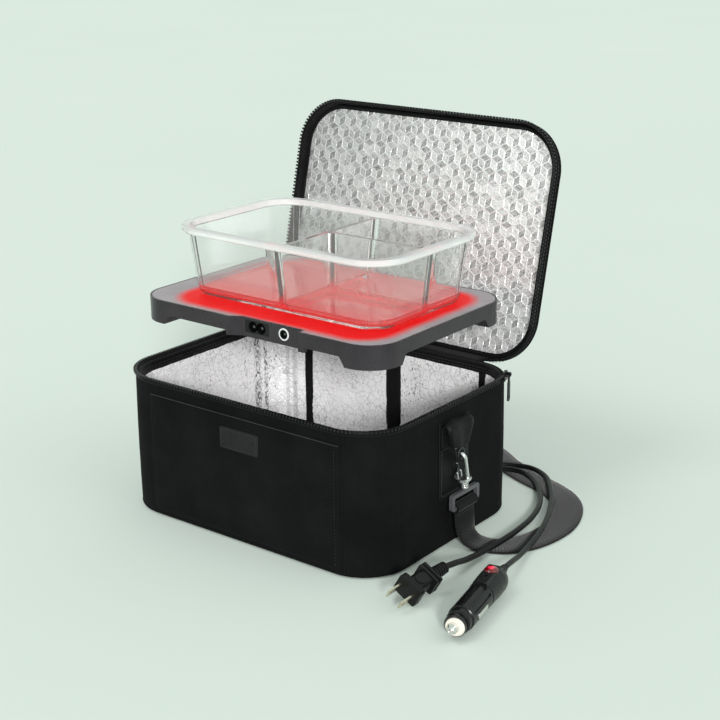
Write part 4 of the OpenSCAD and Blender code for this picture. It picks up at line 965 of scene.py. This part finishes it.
def hinge_strip(name, section, out, nodes=()):
    """A sheet along X whose section is a line of (y, z) points. It bends between start and end."""
    half, last = seam_l / 2 + 1, len(section) - 1
    section = [Vector(v) for v in section]

    def place(x, i):
        ease = min(1.0, (half - abs(x)) / 12 + 0.25)
        t = (section[min(i + 1, last)] - section[max(i - 1, 0)]).normalized()
        up = Vector((-t.y, t.x)) * out
        swell = 0.5 + 0.3 * wobble(x, 7 * i, 0, 18, 4) * (0 < i < last)
        v = section[i]
        return (Vector((x, v.x + up.x * swell, v.y + up.y * swell * ease)),
                Vector((x, v.x - up.x * 0.5, v.y - up.y * 0.5)))

    verts, faces = sheet(steps(-half, half, 5), range(len(section)), place)
    made = piece(name, verts, faces, BINDING, "black_fabric", None, nodes)
    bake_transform(made)


def make_hinge():
    """Fabric over the hinge, in one fixed shape: inside from the rim to the lid's band, outside over the
    seam.
    """
    hinge_strip("hinge_fabric_inside",
                [(100.6, 120.6), (102.4, 121.3), (104.2, 121.9), (106.2, 122.0), (108.6, 121.9),
                 (111.4, 121.6), (114.2, 121.3), (117.0, 120.9)],
                0.8, ["hinge_seam"])
    hinge_strip("hinge_fabric_outside",
                [(105.6, 110.0), (105.9, 113.5), (106.3, 116.2), (107.2, 118.2), (108.8, 119.3),
                 (111.0, 119.2), (113.4, 118.8)],
                -0.7)


# Tabs and strap

flap_x, tab_y, eyelet_z, hook_tilt, ring_z = 148.4, -3, 82.5, 12, -34.4
strap_w, strap_t, ring_bar, ring_slot_h = 28, 1.6, 3.4, 7.6
adjuster_x, adjuster_y = -18, 205
# The top of the level ring, under the hook that hangs at its tilt
ring_y = tab_y - ring_z * math.sin(math.radians(hook_tilt))
ring_top = eyelet_z + ring_z * math.cos(math.radians(hook_tilt))


def on_side(side, v):
    """A point given for the right side, on the right for side 1 or on the left for side -1."""
    return Vector((side * v[0], v[1], v[2]))


def make_tab_base(side, name):
    """A patch of webbing with turned edges, sewn on the wall."""
    w, h, y0, z0, sewn = 42, 66, tab_y + 3, 77, 3

    def place(u, v):
        edge = min(w / 2 - abs(u), h / 2 - abs(v))
        up = 0.3 + 0.95 * soft_edge(edge, 1.1) - hollow(edge - sewn, 0.22, 0.8)
        up += 0.08 * wobble(u, v, 0, 12, side)
        return tuple(on_side(side, (bag_l / 2 + out, y0 + u, z0 + v)) for out in (up, 0.22))

    verts, faces = sheet(spread(-w / 2, w / 2, 43), spread(-h / 2, h / 2, 67), place)
    piece("tab_base_cloth_" + name, verts, faces, WEBBING, "webbing", "bag", ["tab_base_" + name],
          runs=[(v.y, v.z) for v in verts])
    loop = [(on_side(side, (bag_l / 2 + 1.1, y0 + u, z0 + v)), Vector((side, 0, 0)))
            for u, v in border(w, h, sewn, sewn, 1.5)]
    seam("tab_base_stitches_" + name, loop, "bag", tab_stitch, closed=True)


def make_tab_flap(side, name):
    """A sheet from the wall over a roll and down to a rounded tip with the eyelet."""
    roll_r, roll_z, t, across = 4.0, 106, 1.6, 25
    half_top, half_tip = 17.2, 7.6
    # Points of the part on the wall and of the roll
    sewn, rolled = 6, 13
    tip_z, narrow_z = eyelet_z - 1, roll_z - 2
    line = [(bag_l / 2 + 2.2, z) for z in spread(88, roll_z - 3, sewn)]
    line += [(bag_l / 2 + 1.2 + roll_r - (roll_r - t / 2) * math.cos(math.radians(a)),
              roll_z + (roll_r - t / 2) * math.sin(math.radians(a))) for a in spread(0, 180, rolled)]
    line += [(flap_x, z) for z in spread(roll_z - 1.5, eyelet_z - 8.4, 22)]
    runs_at = [0.0]
    for a, b in zip(line, line[1:]):
        runs_at.append(runs_at[-1] + math.hypot(b[0] - a[0], b[1] - a[1]))

    def half_width(i):
        z = line[i][1]
        if i < sewn + rolled or z > narrow_z:
            return half_top
        if z > tip_z:
            return half_top + (half_tip - half_top) * ((narrow_z - z) / (narrow_z - tip_z)) ** 0.9
        return math.sqrt(max(half_tip ** 2 - (tip_z - z) ** 2, 0.3))

    def place(i, j):
        x, z = line[i]
        (ax, az), (bx, bz) = line[max(i - 1, 0)], line[min(i + 1, len(line) - 1)]
        d = Vector((bx - ax, bz - az)).normalized()
        out = Vector((-1, 0)) if i < sewn else Vector((-d.y, d.x))
        half = half_width(i)
        v = -half + 2 * half * j / (across - 1)
        edge = half - abs(v)
        thick = t / 2 * (0.35 + 0.65 * soft_edge(edge, 1.2))
        crease = 0.16 * wobble(x, v, z, 13, 2 + side)
        swell = 0
        if i >= sewn:
            lift = min(max((z - 87) / 4, 0), 1)
            rise = lift * lift * (3 - 2 * lift)
            crease += 2.3 * rise * soft_edge(edge, 5) * (0.8 + 0.5 * wobble(x, v, 0.3 * z, 9, 6))
            swell = crease
        return (on_side(side, (x + out.x * (thick + crease), tab_y + v, z + out.y * (thick + swell))),
                on_side(side, (x - out.x * thick, tab_y + v, z - out.y * thick)))

    verts, faces = sheet(range(len(line)), range(across), place)
    runs = [((j - across / 2) * 1.4, along) for along in runs_at for j in range(across)] * 2
    made = piece("tab_flap_cloth_" + name, verts, faces, WEBBING, "webbing", "bag", ["tab_flap_" + name],
                 runs=runs)
    bore(made, on_side(side, (flap_x, tab_y, eyelet_z)), 3.9, 6)
    front, back = [], []
    for i in range(sewn + rolled + 1, len(line) - 1):
        x, z = line[i]
        for path, way in ((front, -1), (back, 1)):
            v = way * (half_width(i) - 2.2)
            path.append((on_side(side, (x + 0.72, tab_y + v, z)), Vector((side, 0, 0))))
    back.reverse()
    seam("tab_flap_stitches_" + name, front[:-3] + back[3:], "bag", flap_stitch)


def bore(made, at, radius, depth):
    """Cuts a round hole along X through a piece."""
    verts, faces = tube_along([at + Vector((x, 0, 0)) for x in (-depth, depth)], radius, 32)
    mesh = bpy.data.meshes.new("cutter")
    mesh.from_pydata([v * MM for v in verts], [], faces)
    cutter = placed("cutter", mesh)
    mod = made.modifiers.new("hole", "BOOLEAN")
    mod.object, mod.operation, mod.solver = cutter, "DIFFERENCE", "EXACT"
    graph = bpy.context.evaluated_depsgraph_get()
    graph.update()
    result = bpy.data.meshes.new_from_object(made.evaluated_get(graph))
    made.modifiers.remove(mod)
    made.data = result
    bpy.data.objects.remove(cutter)


def strap_run(line):
    """The webbing along a line of places, each with how far the webbing lies level there."""
    half = strap_w / 2
    # Section: thin at the edges, full in the middle
    ring = [(-half, 0), (-half + 0.5, 0.55), (-half + 1.6, 0.8), (-half / 2, 0.78), (0, 0.76),
            (half / 2, 0.78), (half - 1.6, 0.8), (half - 0.5, 0.55)]
    ring += [(-u, -v) for u, v in ring]
    verts, runs, total = [], [], 0.0
    for i, v in enumerate(line):
        a, b = line[max(i - 1, 0)], line[min(i + 1, len(line) - 1)]
        d = Vector((b - a)[:3]).normalized()
        flat = min(max(v[3], 0), 1)
        hanging = Vector((0, 1, 0))
        level = hanging if math.hypot(d.x, d.y) < 0.02 else Vector((-d.y, d.x, 0)).normalized()
        wide = ((1 - flat) * hanging + flat * level).normalized()
        thick = d.cross(wide).normalized()
        if i:
            total += (Vector(v[:3]) - Vector(line[i - 1][:3])).length
        for u, w in ring:
            verts.append(Vector(v[:3]) + wide * u + thick * w)
            runs.append((u, total))
    n, size = len(ring), len(verts)
    ends = [list(range(n)), list(range(size - 1, size - n - 1, -1))]
    return verts, grid_faces(len(line), n, False, True) + ends, runs


def strap_arch():
    """The arch over the adjuster's middle bar."""
    arch = []
    for half in ([(-6.2, 0.2), (-5.2, 2.4), (-4.3, 4.1), (-3.2, 4.5), (0, 4.6)],
                 [(4.9, 0.2), (3.9, 2.2), (3.0, 2.9), (0, 3.0)]):
        arch += half + [(-x, z) for x, z in half[-2::-1]]
    verts, runs, n = [], [], len(arch)
    for y in (-strap_w / 2, strap_w / 2):
        verts += [Vector((adjuster_x + x, adjuster_y + y, strap_t + z - 0.6)) for x, z in arch]
        runs += [(y, x) for x, z in arch]
    faces = [[k, (k + 1) % n, n + (k + 1) % n, n + k] for k in range(n)]
    return verts, faces + [list(range(n)), list(range(2 * n - 1, n - 1, -1))], runs


def strap_end(side):
    """An end of the webbing round its ring's lower bar."""
    bar = ring_top - 1.5 * ring_bar - ring_slot_h
    inner, m = ring_bar * 0.71 + 0.3, 28
    verts, runs, faces = [], [], []
    for y in (-strap_w / 2, strap_w / 2):
        for r in (inner, inner + strap_t):
            for k in range(m):
                a = 2 * math.pi * k / m
                point = (flap_x + r * math.sin(a), ring_y + y, bar + r * math.cos(a))
                verts.append(on_side(side, point))
                runs.append((y, r * a))
    for k in range(m):
        j = (k + 1) % m
        for low, high in ((0, 2), (1, 3), (0, 1), (2, 3)):
            faces.append([low * m + k, low * m + j, high * m + j, high * m + k])
    return verts, faces, runs


def make_strap():
    """The webbing from ring to ring, with its sewn ends folded round the rings' lower bars."""
    top = ring_top - 2.2 * ring_bar - ring_slot_h - strap_t + 0.2
    on_floor = [(168, 11), (180, 18), (190, 32), (195.5, 52), (196, 75), (190, 98), (179, 119), (164, 134),
                (146, 143), (126, 150), (104, 159), (82, 170), (62, 183), (38, 196), (12, 204),
                (adjuster_x, adjuster_y), (-50, 205), (-88, 203), (-122, 190), (-150, 169), (-170, 140),
                (-181, 106), (-184, 72), (-181, 44), (-172, 24)]
    # X, Y, height, and 1 where the webbing lies level
    route = [(flap_x, ring_y, top, 0), (flap_x, ring_y + 0.4, 0.76 * top, 0),
             (flap_x + 0.6, ring_y + 1.4, 0.45 * top, 0.1), (151.5, ring_y + 2.6, 0.19 * top, 0.5),
             (158, 8.5, 1.8, 0.9)]
    route += [(x, y, strap_t / 2, 1) for x, y in on_floor]
    route += [(-161, 12, 1, 0.95), (-152.5, ring_y + 2.6, 0.17 * top, 0.5),
              (-flap_x - 0.6, ring_y + 1.4, 0.45 * top, 0.1), (-flap_x, ring_y + 0.4, 0.76 * top, 0),
              (-flap_x, ring_y, top, 0)]
    meshes = [strap_run(smooth([Vector(v) for v in route], 8)), strap_arch(), strap_end(1), strap_end(-1)]
    verts, faces = joined([(points, their_faces) for points, their_faces, _ in meshes])
    piece("strap_webbing", verts, faces, STRAP, "webbing", "bag", ["shoulder_strap"],
          runs=[run for _, _, runs in meshes for run in runs], sharp=55)
    for side, name in ((1, "right"), (-1, "left")):
        path = [(on_side(side, (flap_x + 0.85, ring_y + u, top - 3.4)), Vector((side, 0, 0)))
                for u in steps(2 - strap_w / 2, strap_w / 2 - 2, 1.5)]
        seam("strap_stitches_" + name, path, "bag", strap_stitch)


# Looks of the moulded parts

def plate_finish():
    """Grey coated plate, with a painted red glow round the container's foot."""
    f = Finish("plate_grey", (0.4, 0.39, 0.4), 0.5, specular_ior_level=0.12)
    half_x, half_y, corner, middle_x, middle_y = 80.0, 52.0, 30.0, 10.5, -1.0

    def past(index, middle, half):
        """How far along an axis a point is past the foot's flat part."""
        away = f.math("ABSOLUTE", f.math("SUBTRACT", f.axis(index), middle * MM))
        return f.math("MAXIMUM", f.math("SUBTRACT", away, half * MM), 0.0)

    dx, dy = past(0, middle_x, half_x), past(1, middle_y, half_y)
    far = f.math("SQRT", f.math("ADD", f.math("MULTIPLY", dx, dx), f.math("MULTIPLY", dy, dy)))
    uneven = f.math("MULTIPLY_ADD", f.noise(30, 2), 4 * MM, -2 * MM)
    # Painted glow: red colour and emission round the container's foot, though the plate is no lamp
    painted_glow = f.ramp(f.math("ADD", far, uneven), (corner - 8) * MM, (corner + 6) * MM, 1.0, 0.0)
    painted_glow.node.interpolation_type = "SMOOTHSTEP"
    grey = f.ramp(f.noise(25, 5), 0.3, 0.75, (0.36, 0.33, 0.35), (0.46, 0.43, 0.45))
    f.color(f.mix(painted_glow, grey, (0.45, 0.002, 0.003, 1)))
    f.set("Emission Color", (1.0, 0.003, 0.004, 1))
    f.set("Emission Strength", f.math("MULTIPLY", painted_glow, 0.42))
    f.rough(f.ramp(f.noise(4, 5, 0.7), 0.3, 0.7, 0.42, 0.56))
    f.bump(f.noise(0.5, 3), 0.03, 0.5)
    return f.mat


def glass_finish():
    """Clear pressed glass, made less clear and whiter in the thick rim as a painted highlight."""
    f = Finish("glass_clear", (0.965, 0.985, 0.98), 0.02, ior=1.47)
    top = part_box("glass_container")[1].z
    # Painted highlight: the rim is made less clear and whiter to stand for the bright light caught in it
    rim = f.ramp(f.axis(2), top - 5.4 * MM, top - 4.2 * MM, 0.0, 1.0)
    f.set("Transmission Weight", f.ramp(rim, 0.0, 1.0, 0.94, 0.45))
    f.rough(f.math("ADD", f.ramp(f.noise(30, 3), 0.3, 0.8, 0.0, 0.04), f.math("MULTIPLY", rim, 0.06)))
    f.bump(f.noise(40, 2), 0.2, 0.06)
    return f.mat


def middle_of(node):
    """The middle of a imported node's box, in metres."""
    low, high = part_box(node)
    return (low + high) / 2


def jack_finish():
    """A thin white ring round a black socket."""
    f = Finish("jack_white", (0.80, 0.80, 0.79), 0.3)
    at = middle_of("dc_jack")
    far = f.vector("DISTANCE", f.vector("MULTIPLY", f.coord, (1, 0, 1)), (at.x, 0, at.z))
    ring = f.ramp(far, 3.9 * MM, 4.1 * MM, 0.0, 1.0)
    tone = f.math("MULTIPLY", ring, f.ramp(f.noise(4, 4), 0.3, 0.7, 0.88, 1.0))
    f.color(f.ramp(tone, 0.0, 0.95, (0.006, 0.006, 0.007), (0.82, 0.82, 0.81)))
    f.bump(f.noise(0.6, 3), 0.02, 0.4)
    return f.mat


def ring_finish():
    """The car plug's end: pale round the tip and black outside it."""
    f = Finish("ring_cream", (0.75, 0.70, 0.62), 0.3, specular_ior_level=0.3)
    middle = middle_of("car_plug_ring")
    axis = (middle_of("car_plug_tip") - middle).normalized()
    far = f.vector("LENGTH", f.vector("CROSS_PRODUCT", f.vector("SUBTRACT", f.coord, middle), axis))
    pale = f.ramp(far, 7.0 * MM, 7.6 * MM, 1.0, 0.0)
    tone = f.math("MULTIPLY", pale, f.ramp(f.noise(3, 4), 0.3, 0.7, 0.85, 1.0))
    f.color(f.ramp(tone, 0.0, 1.0, (0.008, 0.008, 0.009), (0.82, 0.77, 0.69)))
    f.bump(f.noise(0.7, 3), 0.02, 0.4)
    return f.mat


def lens_finish():
    """A red lens, lit from under the middle of its top."""
    f = Finish("lens_red", (0.4, 0.005, 0.015), 0.08, coat_weight=0.6)
    at = middle_of("car_plug_lens")
    at.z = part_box("car_plug_lens")[1].z
    far = f.vector("DISTANCE", f.coord, at)
    f.set("Emission Color", (1.0, 0.02, 0.06, 1))
    f.set("Emission Strength", f.ramp(far, 0.0, 3.2 * MM, 2.6, 0.02))
    f.color(f.ramp(f.noise(2, 2), 0.3, 0.7, (0.09, 0.001, 0.004), (0.15, 0.002, 0.008)))
    return f.mat


def finish_parts():
    """The moulded, metal and inner parts, each kind of look with the nodes that wear it."""
    looks = [
        ("body_zipper_teeth lid_zipper_teeth",
         plastic("zip_teeth", (0.004, 0.004, 0.0045), (0.012, 0.012, 0.013), 0.3, 0.6, 0.02,
                 specular_ior_level=0.25)),
        ("zip_slider_right zip_slider_left tab_eyelets hook_gate_right hook_gate_left",
         metal("hardware_dark", (0.035, 0.035, 0.038), (0.075, 0.075, 0.08), 0.34)),
        ("zip_pull_right zip_pull_left",
         metal("pull_dark", (0.008, 0.008, 0.009), (0.020, 0.020, 0.022), 0.4)),
        ("strap_ring_right strap_ring_left strap_adjuster",
         plastic("buckle_grey", (0.065, 0.065, 0.069), (0.10, 0.10, 0.106), 0.44, 0.5, 0.04)),
        ("snap_hook_right snap_hook_left",
         metal("hook_metal", (0.60, 0.60, 0.61), (0.80, 0.80, 0.81), 0.2)),
        ("heater_housing", plastic("housing_grey", (0.018, 0.014, 0.018), (0.029, 0.024, 0.029), 0.3, 0.45,
                                   0.035, specular_ior_level=0.36)),
        ("heater_top_plate", plate_finish()),
        ("glass_container", glass_finish()),
        ("dc_jack", jack_finish()),
        ("ac_inlet", plastic("socket_black", (0.003, 0.003, 0.0034), (0.007, 0.007, 0.0075), 0.35,
                             specular_ior_level=0.25)),
        ("ac_inlet_pins dc_jack_pin", metal("pins_dim", (0.10, 0.10, 0.10), (0.20, 0.20, 0.20), 0.36)),
        ("car_plug", plastic("plug_black", (0.005, 0.005, 0.0055), (0.012, 0.012, 0.013), 0.28, 0.7, 0.03,
                             specular_ior_level=0.25)),
        ("car_plug_ring", ring_finish()),
        ("car_plug_lens", lens_finish()),
        ("car_plug_tip car_plug_contacts", metal("nickel", (0.62, 0.61, 0.59), (0.86, 0.85, 0.82), 0.2)),
        ("ac_plug ac_connector dc_connector coil_ties",
         plastic("lead_moulded", (0.004, 0.004, 0.0043), (0.010, 0.010, 0.011), 0.36, 0.6, 0.04,
                 specular_ior_level=0.2)),
        ("ac_plug_blades", metal("brass_pale", (0.58, 0.52, 0.40), (0.80, 0.75, 0.62), 0.24)),
        ("housing_screws thermostat", metal("steel_plain", (0.45, 0.45, 0.46), (0.66, 0.66, 0.67), 0.3)),
        ("foam_core lid_foam",
         plastic("foam_white", (0.60, 0.60, 0.57), (0.78, 0.78, 0.75), 0.9, 1.4, 0.3)),
        ("bottom_board", plastic("board_brown", (0.20, 0.15, 0.10), (0.30, 0.24, 0.16), 0.85, 2.0, 0.1)),
        ("insulation_pad", plastic("felt_cream", (0.60, 0.56, 0.45), (0.74, 0.70, 0.60), 0.95, 1.0, 0.3)),
        ("heating_element", metal("element_copper", (0.45, 0.22, 0.12), (0.68, 0.38, 0.24), 0.35)),
        ("socket_board", plastic("circuit_green", (0.02, 0.10, 0.05), (0.03, 0.16, 0.08), 0.4))]
    for names, material in looks:
        for name in names.split():
            slots = NODES[name].data.materials
            if not slots:
                slots.append(material)
            for k in range(len(slots)):
                slots[k] = material


# Stage and light

def make_stage():
    """A pale floor, a soft sky, and three soft suns."""
    half, below = 14, 0.3
    corners = [(x * half, y * half, 0) for x, y in ((-1, -1), (1, -1), (1, 1), (-1, 1))]
    mesh = bpy.data.meshes.new("floor")
    mesh.from_pydata(corners, [], [(0, 1, 2, 3)])
    floor = placed("floor", mesh)
    f = Finish("floor_pale", (0.74, 0.84, 0.77), 0.95, specular_ior_level=0.0)
    f.color(f.ramp(f.noise(900, 2), 0.3, 0.7, (0.73, 0.83, 0.76), (0.75, 0.85, 0.78)))
    mesh.materials.append(f.mat)
    floor.location.z = -below * MM

    # The sky lights the part. Camera, glossy and transmission rays see a plain tone instead
    world = bpy.data.worlds.new("studio")
    bpy.context.scene.world = world
    world.use_nodes = True
    nodes, link = world.node_tree.nodes, world.node_tree.links.new
    sky, seen = nodes["Background"], nodes.new("ShaderNodeBackground")
    for node, color, strength in ((sky, (0.97, 1.0, 0.98), 0.58), (seen, (0.70, 0.80, 0.73), 1.0)):
        node.inputs["Color"].default_value = (*color, 1)
        node.inputs["Strength"].default_value = strength
    path, mix = nodes.new("ShaderNodeLightPath"), nodes.new("ShaderNodeMixShader")
    rays = path.outputs["Is Camera Ray"]
    for kind in ("Is Glossy Ray", "Is Transmission Ray"):
        either = nodes.new("ShaderNodeMath")
        either.operation = "MAXIMUM"
        link(rays, either.inputs[0])
        link(path.outputs[kind], either.inputs[1])
        rays = either.outputs[0]
    for output, socket in zip((rays, sky.outputs[0], seen.outputs[0]), mix.inputs):
        link(output, socket)
    link(mix.outputs[0], nodes["World Output"].inputs[0])

    # Direction to the light, power and angle
    suns = (("key", (-0.35, -0.75, 1.25), 0.4, 22), ("side", (0.9, 0.1, 0.9), 0.15, 30),
            ("front", (0.66, -0.68, 0.325), 2.5, 8))
    for name, toward, power, angle in suns:
        data = bpy.data.lights.new(name, "SUN")
        data.energy, data.angle = power, math.radians(angle)
        sun = placed(name, data)
        sun.rotation_mode = "QUATERNION"
        sun.rotation_quaternion = (-Vector(toward)).to_track_quat("-Z", "Y")


make_body()
make_panel()
make_patch()
make_rim()
tape("body_tape", bag_h - 9, teeth_z + 0.6, 24, "bag", "body_zipper_tape")
make_lining()
make_inner_bands()
make_lid()
make_lid_binding()
make_lid_foil()
tape("lid_tape", lid_side_z + 9, lid_teeth_z + tooth_h - 0.6, 9, "lid", "lid_zipper_tape", opened)
make_hinge()
for which, word in ((1, "right"), (-1, "left")):
    make_tab_base(which, word)
    make_tab_flap(which, word)
make_strap()
finish_parts()
make_stage()
bpy.context.scene.view_settings.view_transform = "Standard"
